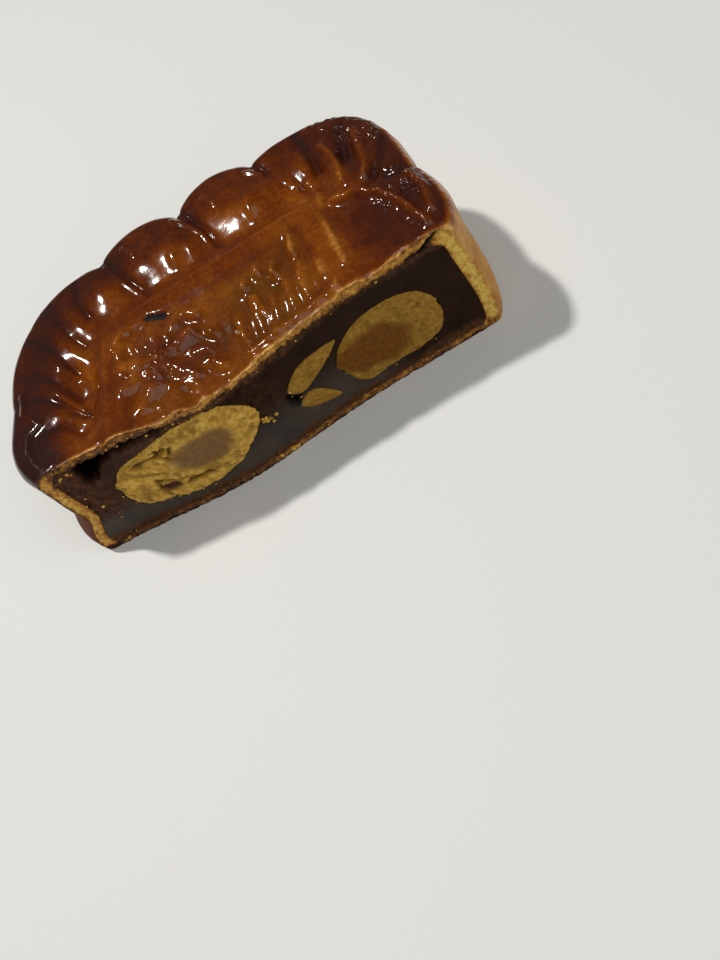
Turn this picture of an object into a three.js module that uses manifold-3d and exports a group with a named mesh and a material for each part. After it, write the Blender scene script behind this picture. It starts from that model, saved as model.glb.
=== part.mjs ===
// Half of a square baked mooncake with a scalloped wall, cut through the middle: a moulded pastry
// crust round a dark bean paste, with two salted egg yolks and two fragments of yolk in the cut.
// Millimetres. X runs along the cut, Y from the cut into the cake and Z up from the base. The
// shapes are worked out about the middle of the whole cake, and the group then moves them so
// that the half's own middle is above the origin.
import * as THREE from "three";
import { mergeVertices } from "three/addons/utils/BufferGeometryUtils.js";
import Module from "manifold-3d";

// Driving dimensions of the crust.
const RIM_HEIGHT = 25.8; // height of the petals round the top
const HALF_WIDTH = 36.9; // middle of the cake to the wall's plain square, at the rim
const SQUARE_LEFT = 3.7; // superellipse power of the rounded left corner
const SQUARE_RIGHT = 5.05; // and of the sharper right one
// The wall's notches, from the right end of the cut round to the left: angle in degrees, and how
// far each stands out from the square. Between them, how far each lobe does.
const NOTCHES = [[0, -0.1], [22.5, 1.3], [66.4, 0], [89, -1.4], [113.9, -1], [157.7, 0.9], [180, -0.3]];
const LOBES = [2.7, 2.8, 3.4, 2.4, 0.4, 2.5];
const LOBE_ROUND = 0.76; // power of the sine that rounds a lobe
const FILLED = 0.9; // how far the first notch after the cut closes below the rim
const FLARE_RIGHT = 1.9; // how much further out the wall is at its foot
const FLARE_LEFT = 2.6;
const SHOULDER = 2.6; // radius of the rounded edge between top and wall
const FOOT = 1.2; // radius of the rounded edge between wall and base
const GAP = 0.3; // clearance between neighbouring pieces

// The crust's thickness, which the filling fits inside.
const TOP_CRUST = 1.7;
const TOP_DEEPER = 1.2; // how much thicker the top is behind the cut, below its pattern
const WALL_CRUST = 2.1;
const BASE_CRUST = 1.4;

// The cut bows towards the front left of the middle, and the top sags there.
const CUT_BOW = 2.3;
const CUT_BOW_AT = -11;
const CUT_BOW_REACH = 17;
const SAG = 2.3;
const SAG_AT = -7;

// The moulded pattern on top.
const DOME_RISE = 1; // how far the top's plain level is below the rim's height
const CREST = 0.9; // height of the petals near the rim, above that level
const CREST_LEFT = 0.35; // and at the left end of the cut
const TROUGH = 1; // how far they fall below it beside the frame
const CREASE = 1.1; // depth of the creases between petals
const CREASE_REACH = 7.4; // how far from its crease a petal goes on rising
const CREASE_REACH_LEFT = 3.4;
const CREASE_REACH_RIGHT = 4.4;
const RIDGE_RISE = 0.45;
const RIDGE_HALF_WIDTH = 0.8;
const FRAME_LEFT = -18.2;
const FRAME_SLANT = 0.2; // how far the frame's left side leans outwards as it nears the cut
const FRAME_RIGHT = 21.6;
const FRAME_BACK = 20.4;
const BAND = 4; // width of the frame's flat band
const BAND_RISE = 0.2;
const GROUND = 0.35; // how far the ground inside the frame is sunk
const MOTIF_RISE = 0.85;
const SOFTEN = 0.6; // half side of the square over which the pattern is softened

// How finely the surfaces are divided: along the cut, and from the cut to the back.
const OUTER = { across: 68, deep: 34, bends: 4, steps: 6 };
const INNER = { across: 22, deep: 9, bends: 2, steps: 3 };
const INNER_LOBE = 0.45; // share of the lobes that the crust's inner side follows

const clamp = (v) => Math.min(1, Math.max(0, v));
const smooth = (from, to, v) => {
  const t = clamp((v - from) / (to - from));
  return t * t * (3 - 2 * t);
};
const bell = (v) => Math.exp(-v * v);
const mix = (a, b, t) => a + (b - a) * t;

// A value between the steps of a table of [place, value], found along it.
function between(table, at) {
  let i = 0;
  while (i + 2 < table.length && at > table[i + 1][0]) i++;
  const [[from, low], [to, high]] = [table[i], table[i + 1]];
  return mix(low, high, clamp((at - from) / (to - from)));
}

const CRESTS = LOBES.map((lobe, i) => [(NOTCHES[i][0] + NOTCHES[i + 1][0]) / 2, lobe]);

// Distance from the cake's middle to the wall's rim at an angle. Lobe is the share of the lobes
// that is kept, and filled is how far the notches between them have closed.
function wallRadius(angle, lobe, filled = 0) {
  const power = mix(SQUARE_LEFT, SQUARE_RIGHT, smooth(-0.6, 0.6, Math.cos(angle)));
  const c = Math.abs(Math.cos(angle));
  const s = Math.abs(Math.sin(angle));
  const square = HALF_WIDTH / (c ** power + s ** power) ** (1 / power);
  const degrees = THREE.MathUtils.radToDeg(angle);
  let k = 0;
  while (k + 1 < LOBES.length && degrees >= NOTCHES[k + 1][0]) k++;
  const share = (degrees - NOTCHES[k][0]) / (NOTCHES[k + 1][0] - NOTCHES[k][0]);
  const bulge = mix(Math.abs(Math.sin(Math.PI * share)) ** LOBE_ROUND, 1, filled);
  return square + lobe * mix(between(NOTCHES, degrees), between(CRESTS, degrees), bulge);
}

// How far the wall stands out from its rim at a height. It starts lower on the left.
function flareAt(x, z) {
  const right = FLARE_RIGHT * (1 - smooth(5, 22.5, z));
  const left = FLARE_LEFT * (1 - smooth(3, 11, z));
  return mix(left, right, smooth(-20, 20, x));
}

// Distance to the wall at a height. The first notch after the cut closes below the rim.
function radiusAt(angle, z, lobe, inset) {
  const fromNotch = angle - THREE.MathUtils.degToRad(NOTCHES[1][0]);
  const filled = FILLED * (1 - smooth(14, 23, z)) * bell(fromNotch / 0.3);
  return wallRadius(angle, lobe, filled) - inset + flareAt(HALF_WIDTH * Math.cos(angle), z);
}

// Where the cut is, in Y.
function cutAt(x) {
  return -CUT_BOW * bell((x - CUT_BOW_AT) / CUT_BOW_REACH);
}

// The sunk part of the top along the cut: steep on the left and gentle on the right.
function sagAt(x, y) {
  const reach = x < SAG_AT ? 8 : 18;
  return SAG * bell((x - SAG_AT) / reach) * bell(y / 11);
}

// Creases between the petals, from the rim inwards, as X and Y at each bend.
const CREASES = [
  [[-36, 6], [-32, 7], [-28.6, 6], [-26, 3.4]],
  [[-35.4, 14.6], [-31.4, 13.4], [-28, 10.4], [-25, 6.6]],
  [[-34, 20], [-30.4, 17.8], [-27.6, 14.4], [-25.4, 10.4]],
  [[-31, 26.8], [-28, 23.4], [-26, 19.4], [-24.6, 15.4]],
  [[-26, 31.6], [-24.6, 27], [-23.8, 23], [-22, 20]],
  [[-20, 33.6], [-20.6, 29], [-19.6, 25]],
  [[-15, 36], [-13.2, 32], [-11, 27], [-8.8, 22.6]],
  [[0.7, 36.4], [2.4, 33], [4.2, 28], [5.2, 22.4]],
  [[15.3, 36.5], [18, 31.2], [20.6, 26.2], [22.6, 22]],
  [[24.6, 35.6], [25, 31], [24.8, 26]],
  [[31.4, 31.6], [30.4, 28.6], [29.4, 25]],
  [[36.4, 24], [34.4, 20.4], [31.4, 17]],
  [[38, 15], [35.6, 15], [33.4, 15.6]],
];

// Raised lines: beside some creases, round the large leaf and between the flutes.
const RIDGES = [
  [[-14, 33], [-12.2, 28.4], [-9.8, 23.6]],
  [[-0.2, 33.4], [1.6, 31], [3.6, 27.4], [4.4, 22.8]],
  [[18, 32], [19.2, 28.8], [20.6, 25.6]],
  [[22.2, 24.4], [22.9, 21.4], [22.4, 18]],
  [[27, 29.4], [28, 26.4], [27.8, 23], [27, 19.6]],
  [[32.8, 28.4], [32.2, 24.2], [31.8, 20.6], [30.4, 18]],
  [[24, 18], [27.6, 16.2], [30.8, 12.8], [32.4, 9.4], [33.4, 5], [34.2, 2]],
  [[36, 13.6], [36.6, 9.4], [35.6, 4]],
  [[-28.2, 12.2], [-25, 7.4]],
  [[-26.6, 17.6], [-24, 13.6]],
];

// Smooth hollows: middle X and Y, half width, half length, how far each leans to the right as it
// goes back, and depth. The first is the large leaf at the right end of the cut.
const HOLLOWS = [
  [27.6, 8.4, 5, 10, -0.18, 0.6],
  [34.8, 9, 1.8, 5.6, -0.06, 0.8],
  [25, 24.6, 1.7, 6, 0.02, 0.7],
  [29.8, 23.4, 1.8, 6, 0.1, 0.8],
  [-23.2, 10.4, 3.4, 8.5, -0.2, 0.8],
  [-25, 2.6, 2.6, 4, -0.3, 0.5],
];

// Distance to a straight stretch between two points, and how far along it the point is.
function toSegment(x, y, [fromX, fromY], [toX, toY]) {
  const dx = toX - fromX;
  const dy = toY - fromY;
  const along = clamp(((x - fromX) * dx + (y - fromY) * dy) / (dx * dx + dy * dy));
  return [Math.hypot(x - fromX - along * dx, y - fromY - along * dy), along];
}

// Distance to the nearest of some bent lines.
function toLines(x, y, lines) {
  let nearest = Infinity;
  for (const line of lines)
    for (let i = 0; i + 1 < line.length; i++)
      nearest = Math.min(nearest, toSegment(x, y, line[i], line[i + 1])[0]);
  return nearest;
}

// A plump, soft-edged leaf between two points, 1 along its middle and 0 outside it.
function leaf(x, y, foot, tip, halfWidth) {
  const [away, along] = toSegment(x, y, foot, tip);
  const reach = halfWidth * Math.sin(Math.PI * Math.min(0.9, Math.max(0.1, along))) ** 0.5;
  return Math.max(1 - (away / reach) ** 2, 0) ** 1.2;
}

// Left motif: a blossom of five petals with a boss, with leaves beside it and a ring below it.
function blossom(x, y) {
  const middle = [-10.4, 8.2];
  let rise = bell(Math.hypot(x - middle[0], y - middle[1]) / 1.5);
  for (let petal = 0; petal < 5; petal++) {
    const angle = Math.PI / 2 + (petal * 2 * Math.PI) / 5;
    const at = (r) => [middle[0] + r * Math.cos(angle), middle[1] + r * Math.sin(angle)];
    rise = Math.max(rise, leaf(x, y, at(1.4), at(6.4), 2.4));
  }
  rise = Math.max(rise, 0.8 * leaf(x, y, [-16.8, 1.2], [-13.4, 3.2], 1.3));
  rise = Math.max(rise, 0.8 * leaf(x, y, [-17, 15], [-14.4, 17], 1.2));
  const ring = Math.hypot((x + 9.2) / 1.15, y - 0.4);
  return Math.max(rise, 0.8 * bell((ring - 2.1) / 0.7));
}

// Right motif: upright leaves in two rows above a curled stem.
const TALL = [5.4, 7.2, 5.2, 6.4, 7.6, 5.2];
function leafSpray(x, y) {
  let rise = 0.8 * leaf(x, y, [0.4, 0.5], [20.4, 1.3], 1);
  TALL.forEach((tall, k) => {
    const foot = [2.6 + 2.9 * k, 2.4];
    const grown = mix(0.35, 1, clamp((y - 2) / tall));
    rise = Math.max(rise, grown * leaf(x, y, foot, [foot[0] + 0.8, foot[1] + tall], 1.6));
  });
  rise = Math.max(rise, leaf(x, y, [5.4, 11.4], [6.4, 13.6], 1.1));
  rise = Math.max(rise, leaf(x, y, [10.6, 10.4], [11.6, 13.4], 1.2));
  return Math.max(rise, leaf(x, y, [14.8, 11.6], [15.8, 15.6], 1.3));
}

// How far a point lies from the frame's edge (0) to the wall (1), and below 0 in the frame.
function rimShare(x, y, radius) {
  const angle = Math.atan2(y, x);
  const edge = x > 0 ? FRAME_RIGHT : -FRAME_LEFT + FRAME_SLANT * (FRAME_BACK - y);
  const c = Math.abs(Math.cos(angle)) / edge;
  const s = Math.abs(Math.sin(angle)) / FRAME_BACK;
  const frame = 1 / (c ** 8 + s ** 8) ** (1 / 8);
  return (Math.hypot(x, y) - frame) / (radius - frame);
}

// Height of the moulded pattern above the top's plain level.
function patternAt(x, backY) {
  const y = Math.max(backY, 0);
  const share = rimShare(x, y, wallRadius(Math.atan2(y, x), 1));

  // Petals rise from the frame towards the rim, with creases between them that are shallower at
  // the rim. On the left the petals flatten towards the cut.
  const left = smooth(-16, -26, x);
  const crest = mix(CREST, CREST_LEFT, left * (1 - smooth(4, 16, y)));
  const swell = mix(-TROUGH, crest, smooth(0.02, 0.5, share));
  const fading = smooth(mix(0.55, 0.3, left), mix(0.9, 0.6, left), share);
  const creased = smooth(0.05, 0.3, share) * mix(1, mix(0.3, 0.1, left), fading);
  const leftward = mix(CREASE_REACH, CREASE_REACH_LEFT, smooth(-14, -22, x));
  const reach = mix(leftward, CREASE_REACH_RIGHT, smooth(20, 26, x));
  const creases = CREASE * creased * (1 - clamp(toLines(x, y, CREASES) / reach)) ** 2;
  const ridges = RIDGE_RISE * bell(toLines(x, y, RIDGES) / RIDGE_HALF_WIDTH);
  let hollows = 0;
  for (const [hollowX, hollowY, wide, long, lean, depth] of HOLLOWS) {
    const [dx, dy] = [x - hollowX - lean * (y - hollowY), y - hollowY];
    hollows += depth * (1 - smooth(0.4, 1.1, Math.hypot(dx / wide, dy / long)));
  }
  const flat = smooth(-5, -15, x) * (1 - smooth(0, 6, y));
  const outer = (swell - creases + ridges - hollows) * (1 - 0.85 * flat);

  // The frame: a flat band with sunk ground inside it, on which the motifs stand.
  const side = x > 0 ? FRAME_RIGHT - x : x - FRAME_LEFT - FRAME_SLANT * (y - FRAME_BACK);
  const inside = Math.min(side, FRAME_BACK - y);
  const band = smooth(-0.9, 0.6, inside) * (1 - smooth(BAND - 1.2, BAND + 0.8, inside));
  const ground = smooth(BAND - 1.2, BAND + 4.5, inside);
  const motifs = Math.max(blossom(x, y), leafSpray(x, y));
  const inner = BAND_RISE * band - GROUND * ground * (1 - motifs) + MOTIF_RISE * motifs;
  return mix(inner, outer, smooth(0.02, 0.2, share));
}

// The pattern softened as the oven does it: its mean over a small square round a point.
function softened(x, y) {
  let sum = 0;
  for (const dx of [-SOFTEN, 0, SOFTEN])
    for (const dy of [-SOFTEN, 0, SOFTEN]) sum += patternAt(x + dx, y + dy);
  return sum / 9;
}

// Angles that divide a stretch of the wall evenly.
function evenAngles(from, to, parts) {
  const fine = 1500;
  const at = (i) => {
    const angle = mix(from, to, i / fine);
    const r = wallRadius(angle, 1);
    return [r * Math.cos(angle), r * Math.sin(angle)];
  };
  const lengths = [0];
  for (let i = 1; i <= fine; i++) {
    const [x0, y0] = at(i - 1);
    const [x1, y1] = at(i);
    lengths.push(lengths[i - 1] + Math.hypot(x1 - x0, y1 - y0));
  }
  const angles = [];
  for (let part = 0, i = 0; part <= parts; part++) {
    const wanted = (lengths[fine] * part) / parts;
    while (i < fine && lengths[i] < wanted) i++;
    angles.push(mix(from, to, i / fine));
  }
  return angles;
}

// The closed surface of one skin, whose open side in front of the cut runs straight on to a flat
// wall at frontY. Inset is how far the skin lies inside the crust's own surface, null for that
// surface itself with its pattern.
function skin({ across, deep, bends, steps }, inset, frontY) {
  const outer = inset === null;
  const roof = RIM_HEIGHT - DOME_RISE - (outer ? 0 : TOP_CRUST + inset);
  const wall = outer ? 0 : WALL_CRUST + inset;
  const floor = outer ? 0 : BASE_CRUST + inset;
  const lobe = outer ? 1 : INNER_LOBE;
  const rimTop = roof - SHOULDER;
  const relief = (x, y) => (outer ? softened(x, y) : -TOP_DEEPER * smooth(0, 6, y));
  const topZ = (x, y) => roof - sagAt(x, y) + relief(x, y);
  const points = [];
  const triangles = [];
  const add = (x, y, z) => points.push([x, y, z]) - 1;
  const quad = (a, b, c, d) => triangles.push([a, b, c], [a, c, d]);

  const right = evenAngles(0, Math.PI / 4, deep);
  const back = evenAngles(Math.PI / 4, (3 * Math.PI) / 4, across);
  const left = evenAngles((3 * Math.PI) / 4, Math.PI, deep);
  const edgeAt = (angle) => {
    const r = radiusAt(angle, rimTop, lobe, wall) - SHOULDER;
    return [r * Math.cos(angle), r * Math.sin(angle)];
  };

  // The top is a grid stretched between the line on the cut and the three other edges.
  const [r0, r1, l0, l1] = [right[0], right[deep], left[deep], left[0]].map(edgeAt);
  const top = [];
  for (let i = 0; i <= across; i++) {
    const u = i / across;
    const far = edgeAt(back[i]);
    const near = [mix(r0[0], l0[0], u), 0];
    top.push([]);
    for (let j = 0; j <= deep; j++) {
      const v = j / deep;
      const [sideR, sideL] = [edgeAt(right[j]), edgeAt(left[deep - j])];
      const [x, y] = [0, 1].map((k) => mix(near[k], far[k], v) + mix(sideR[k], sideL[k], u) -
        mix(mix(r0[k], r1[k], v), mix(l0[k], l1[k], v), u));
      top[i].push(add(x, y, topZ(x, y)));
    }
  }
  for (let i = 0; i < across; i++)
    for (let j = 0; j < deep; j++)
      quad(top[i][j], top[i][j + 1], top[i + 1][j + 1], top[i + 1][j]);

  // Shoulder, wall and foot hang from the top's edge in columns.
  const angles = [...right, ...back.slice(1), ...left.slice(1)];
  const rimBack = top.slice(1, -1).map((run) => run[deep]);
  const rims = [...top[0], ...rimBack, ...[...top[across]].reverse()];
  const columns = angles.map((angle, k) => {
    const [ux, uy] = [Math.cos(angle), Math.sin(angle)];
    const column = [rims[k]];
    const lip = points[rims[k]][2];
    const edge = Math.hypot(points[rims[k]][0], points[rims[k]][1]);
    const put = (r, z) => column.push(add(r * ux, r * uy, z));
    for (let bend = 1; bend <= bends; bend++) {
      const turn = (Math.PI / 2) * (bend / bends);
      put(edge + SHOULDER * Math.sin(turn), mix(rimTop, lip, Math.cos(turn)));
    }
    for (let step = 1; step <= steps; step++) {
      const z = mix(rimTop, floor + FOOT, step / steps);
      put(radiusAt(angle, z, lobe, wall), z);
    }
    const foot = radiusAt(angle, floor + FOOT, lobe, wall) - FOOT;
    put(foot + FOOT * Math.SQRT1_2, floor + FOOT * (1 - Math.SQRT1_2));
    put(foot, floor);
    return column;
  });
  const last = columns[0].length - 1;
  for (let k = 0; k + 1 < columns.length; k++)
    for (let r = 0; r < last; r++)
      quad(columns[k][r], columns[k][r + 1], columns[k + 1][r + 1], columns[k + 1][r]);

  // The base is flat: strips from the back to the cut, and a fan at each end.
  const feet = columns.map((column) => column[last]);
  const [footR, footL] = [feet[0], feet[feet.length - 1]];
  const base = [footR];
  for (let i = 1; i < across; i++)
    base.push(add(mix(points[footR][0], points[footL][0], i / across), 0, floor));
  base.push(footL);
  for (let i = 0; i < across; i++)
    quad(base[i], base[i + 1], feet[deep + i + 1], feet[deep + i]);
  for (let k = 1; k < deep; k++) triangles.push([footR, feet[k + 1], feet[k]]);
  for (let k = deep + across; k < feet.length - 2; k++)
    triangles.push([footL, feet[k + 1], feet[k]]);

  // In front of the cut the open edge is carried on to the flat wall.
  const rightEnd = [...columns[0]].reverse();
  const open = [top.map((t) => t[0]), columns[columns.length - 1], [...base].reverse(), rightEnd];
  const edge = open.flatMap((side) => side.slice(1));
  const front = edge.map((i) => add(points[i][0], frontY, points[i][2]));
  const middle = add(0, frontY, RIM_HEIGHT / 2);
  edge.forEach((here, i) => {
    const next = (i + 1) % edge.length;
    quad(here, edge[next], front[next], front[i]);
    triangles.push([front[i], front[next], middle]);
  });
  return solidFrom(points, triangles);
}

const wasm = await Module();
wasm.setup();

function solidFrom(points, triangles) {
  const geometry = new THREE.BufferGeometry();
  geometry.setAttribute("position", new THREE.Float32BufferAttribute(points.flat(), 3));
  geometry.setIndex(triangles.flat());
  return solidOf(geometry);
}

function solidOf(geometry) {
  geometry.deleteAttribute("normal");
  geometry.deleteAttribute("uv");
  const merged = mergeVertices(geometry, 1e-4);
  const mesh = new wasm.Mesh({
    numProp: 3,
    vertProperties: merged.attributes.position.array,
    triVerts: new Uint32Array(merged.index.array),
  });
  return new wasm.Manifold(mesh);
}

// Everything behind the cut, set back by a clearance.
function behindCut(setBack) {
  const reach = 60;
  const plan = new THREE.Shape();
  plan.moveTo(reach, reach);
  plan.lineTo(-reach, reach);
  for (let x = -reach; x <= reach; x += 3) plan.lineTo(x, cutAt(x) + setBack);
  const block = new THREE.ExtrudeGeometry(plan, { depth: reach, bevelEnabled: false });
  return solidOf(block.translate(0, 0, -reach / 4));
}

// Outlines of the yolk in the cut, as X and Z, and how deep each reaches behind it.
const YOLKS = {
  yolk_left: {
    outline: [
      [-28.5, 10.5], [-27.5, 15], [-25, 17.8], [-21, 19], [-16.5, 20.2], [-12.5, 20.6], [-8.5, 20],
      [-5, 18.4], [-2.5, 14.5], [-3, 12], [-5, 9], [-8, 6.5], [-12, 4.7], [-17, 3.8], [-22, 5],
      [-27, 6.5],
    ],
    deep: 9.5,
    sides: 26,
  },
  yolk_right: {
    outline: [
      [12, 11.5], [13.5, 14.5], [16.5, 17], [20, 18.3], [25, 18], [28.5, 16], [30.5, 12.5],
      [30.5, 8.5], [29, 5.5], [25, 4.5], [19, 4.3], [15, 4.3], [13, 7.5],
    ],
    deep: 9,
    sides: 24,
  },
  yolk_sliver: {
    outline: [
      [3.3, 13], [5.5, 15.5], [8.5, 16.8], [13.5, 17], [13.5, 16], [10.5, 13.5], [7.5, 11.7],
      [5.6, 10.9], [4.2, 11.3],
    ],
    deep: 3.2,
    sides: 18,
  },
  yolk_chip: {
    outline: [[3.7, 8.2], [5.2, 9.9], [7, 9.8], [8.5, 8.4], [10.3, 5.2], [7.7, 5.3], [5, 6.6]],
    deep: 2.6,
    sides: 14,
  },
};

// The hollow that baking left between crust and filling, at the top left of the cut, in two
// parts, and the hole beside the sliver.
const CAVITIES = [
  {
    outline: [
      [-31, 18.5], [-30.5, 22], [-28, 24.5], [-25, 24.5], [-25.5, 21.2], [-28.6, 18.2],
      [-30.7, 16.8],
    ],
    deep: 5.5,
    sides: 14,
  },
  {
    outline: [
      [-26.5, 24.5], [-20, 25], [-14.7, 23], [-15, 21.3], [-18.6, 21.2], [-22.5, 21.4],
      [-26.5, 21.4],
    ],
    deep: 2.4,
    sides: 14,
  },
  {
    outline: [[2.6, 12.4], [4.2, 10.6], [4.9, 10.4], [3.9, 9], [3.1, 8.4], [2.4, 10]],
    deep: 2.5,
    sides: 10,
  },
];

const ROUNDING = [0, 28, 52, 74]; // the turns, in degrees, at which a lump's rings narrow
const LUMP_FRONT = 0.4; // how far behind the cut a lump starts to narrow

// A lump with a closed outline in the cut, grown on all sides by a clearance. It runs forward to
// the flat wall, and rounds off behind the cut.
function lump({ outline, deep, sides }, grow, frontY) {
  const bends = outline.map(([x, z]) => new THREE.Vector3(x, 0, z));
  const curve = new THREE.CatmullRomCurve3(bends, true, "catmullrom", 0.5);
  const plain = curve.getSpacedPoints(sides).slice(0, sides);
  const loop = plain.map((p, i) => {
    const way = plain[(i + 1) % sides].clone().sub(plain[(i + sides - 1) % sides]).normalize();
    return new THREE.Vector3(p.x - grow * way.z, 0, p.z + grow * way.x);
  });
  const middle = loop.reduce((sum, p) => sum.add(p), new THREE.Vector3()).divideScalar(sides);
  const points = [];
  const triangles = [];
  const add = (x, y, z) => points.push([x, y, z]) - 1;
  const ring = (share, back) => loop.map((p) => {
    const x = mix(middle.x, p.x, share);
    return add(x, back === null ? frontY : cutAt(x) + back, mix(middle.z, p.z, share));
  });
  const rings = [ring(1, null)];
  for (const degrees of ROUNDING) {
    const turn = THREE.MathUtils.degToRad(degrees);
    rings.push(ring(Math.cos(turn), LUMP_FRONT + (deep + grow) * Math.sin(turn)));
  }
  const front = add(middle.x, frontY, middle.z);
  const back = add(middle.x, cutAt(middle.x) + LUMP_FRONT + deep + grow, middle.z);
  const last = rings[rings.length - 1];
  for (let i = 0; i < sides; i++) {
    const next = (i + 1) % sides;
    triangles.push([front, rings[0][next], rings[0][i]], [back, last[i], last[next]]);
    for (let k = 0; k + 1 < rings.length; k++) {
      const [near, far] = [rings[k], rings[k + 1]];
      triangles.push([near[i], far[next], far[i]], [near[i], near[next], far[next]]);
    }
  }
  return solidFrom(points, triangles);
}

const crustColour = 0x8a4516;
const pasteColour = 0x1c1413;
const yolkColour = 0xc08a2c;

function named(name, solid, colour, roughness) {
  const mesh = solid.getMesh();
  const geometry = new THREE.BufferGeometry();
  geometry.setAttribute("position", new THREE.BufferAttribute(mesh.vertProperties, 3));
  geometry.setIndex(new THREE.BufferAttribute(mesh.triVerts, 1));
  const material = new THREE.MeshStandardMaterial({ color: colour, roughness, metalness: 0 });
  const made = new THREE.Mesh(geometry, material);
  made.name = name;
  return made;
}

const FRONT = -8; // the flat wall in front of the cut, which the cut removes
const cutBlock = behindCut(0);
const innerBlock = behindCut(GAP);

function crust() {
  const outside = skin(OUTER, null, FRONT);
  return outside.subtract(skin(INNER, 0, FRONT - 1)).intersect(cutBlock);
}

function yolk(name) {
  return lump(YOLKS[name], 0, FRONT).intersect(innerBlock);
}

function paste() {
  let solid = skin(INNER, GAP, FRONT).intersect(innerBlock);
  for (const shape of Object.values(YOLKS)) solid = solid.subtract(lump(shape, GAP, FRONT - 1));
  for (const shape of CAVITIES) solid = solid.subtract(lump(shape, 0, FRONT - 1));
  return solid;
}

const mooncake = new THREE.Group();
mooncake.add(named("crust", crust(), crustColour, 0.35));
mooncake.add(named("paste", paste(), pasteColour, 0.5));
for (const name of Object.keys(YOLKS)) mooncake.add(named(name, yolk(name), yolkColour, 0.7));

// The half's own middle goes above the origin.
const box = new THREE.Box3().setFromObject(mooncake);
mooncake.position.set(-(box.min.x + box.max.x) / 2, -(box.min.y + box.max.y) / 2, -box.min.z);

export default mooncake;
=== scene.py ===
"""Looks of half a cut mooncake: a glazed, moulded crust round dark bean paste and salted egg yolk.

Shapes are worked out in millimetres about the middle of the whole cake, on its base: X along the
cut, Y from the cut into the cake, Z up. Each finished mesh is then moved so that the crust's box
has its middle where the frame has it, and scaled to metres.
"""

import math
from itertools import product

import bmesh
import bpy
import numpy as np
from mathutils import Matrix, Vector


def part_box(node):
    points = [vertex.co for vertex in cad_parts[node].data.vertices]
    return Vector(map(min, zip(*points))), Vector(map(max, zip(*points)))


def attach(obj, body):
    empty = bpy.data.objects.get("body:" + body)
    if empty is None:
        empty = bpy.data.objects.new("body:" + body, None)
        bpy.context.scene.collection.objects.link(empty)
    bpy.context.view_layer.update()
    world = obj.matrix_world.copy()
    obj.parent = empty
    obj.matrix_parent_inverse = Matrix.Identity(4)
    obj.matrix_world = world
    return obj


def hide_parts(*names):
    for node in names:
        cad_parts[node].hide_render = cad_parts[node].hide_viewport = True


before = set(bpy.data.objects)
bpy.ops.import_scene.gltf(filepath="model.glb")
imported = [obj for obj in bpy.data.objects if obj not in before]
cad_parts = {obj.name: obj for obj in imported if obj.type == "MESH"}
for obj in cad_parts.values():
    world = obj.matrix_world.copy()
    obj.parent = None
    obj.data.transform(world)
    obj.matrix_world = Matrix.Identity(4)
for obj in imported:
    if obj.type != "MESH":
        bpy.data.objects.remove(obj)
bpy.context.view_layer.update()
MM = 0.001

# Driving dimensions of the crust.
RIM_HEIGHT = 25.8
HALF_WIDTH = 36.9
SQUARE_LEFT = 3.7
SQUARE_RIGHT = 5.05
# The wall's notches, from the right end of the cut round to the left: angle in degrees, and how
# far each stands out from the square. Between them, how far each lobe does, and how round it is.
NOTCHES = ((0, -0.1), (22.5, 1.3), (66.4, 0), (89, -1.4), (113.9, -1), (157.7, 0.9), (180, -0.3))
LOBES = (2.7, 2.8, 3.4, 2.4, 0.4, 2.5)
LOBE_ROUND = 0.76
FILLED = 0.9  # how far the first notch after the cut closes below the rim
FLARE_RIGHT = 1.9
FLARE_LEFT = 2.6
SHOULDER = 2.6
FOOT = 1.2
TOP_CRUST = 1.7
TOP_DEEPER = 1.2  # how much thicker the top is behind the cut, below its pattern
WALL_CRUST = 2.1
INNER_LOBE = 0.45  # share of the lobes that the crust's inner side follows
BASE_CRUST = 1.4
CUT_BOW = 2.3
CUT_BOW_AT = -11
CUT_BOW_REACH = 17
SAG = 2.3
SAG_AT = -7
SAG_REACH_LEFT = 8
SAG_REACH_RIGHT = 18
SAG_REACH_BACK = 11

# The moulded pattern on top.
DOME_RISE = 1.0  # how far the plain level is below the rim's height
PLAIN = RIM_HEIGHT - DOME_RISE
WALL_TOP = PLAIN - SHOULDER
ROOF = PLAIN - TOP_CRUST  # inner side of the top crust
CREST = 0.9  # the petals' height near the rim
CREST_LEFT = 0.35  # and at the left end of the cut
TROUGH = 1.0  # how far they fall below the plain level beside the frame
CREASE = 1.1
CREASE_REACH = 4.4  # how far from its crease a petal goes on rising
CREASE_REACH_LEFT = 3.4
CREASE_LINE = 0.2  # the sharper line at the bottom of a crease along the back
TIP_INSET = 2.2  # the petals end this far inside the wall, in a small step down
TIP_STEP = 0.15
RIDGE_RISE = 0.45
RIDGE_RISE_RIGHT = 0.75
RIDGE_HALF_WIDTH = 0.55
RIDGE_HALF_WIDTH_RIGHT = 0.7
STROKE_RISE = 0.32
STROKE_HALF_WIDTH = 0.6
FRAME_LEFT = -18.2
FRAME_SLANT = 0.2
FRAME_RIGHT = 21.6
FRAME_BACK = 20.4
FRAME_SQUARE = 8  # how square its corners are
FRAME_TO_PETALS = (0.02, 0.2)  # shares of the way to the wall between which petals take over
BAND = 4.0  # width of its flat band
BAND_RISE = 0.35
GROUND = 0.5  # how far the ground inside the frame is sunk
MOTIF_RISE = 0.85
SOFTEN = 0.5  # half side of the square over which a motif is softened

# How finely the crust is divided: along the cut, from the cut to the back, down the wall with its
# lip and its foot, and through the thickness of the cut face.
ACROSS = 310
DEEP = 150
DOWN = 50
LIP_ROWS = 3
FOOT_ROWS = 3
THROUGH = 8
# The same for the paste in the cut, for an outline in it, and for the outline of its hole.
PASTE_ACROSS = 300
PASTE_DOWN = 96
OUTLINE_PARTS = 90
HOLE_PARTS = 60


# Numbers ----
def clamp(v):
    return np.clip(v, 0, 1)


def smooth(low, high, v):
    t = clamp((v - low) / (high - low))
    return t * t * (3 - 2 * t)


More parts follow.
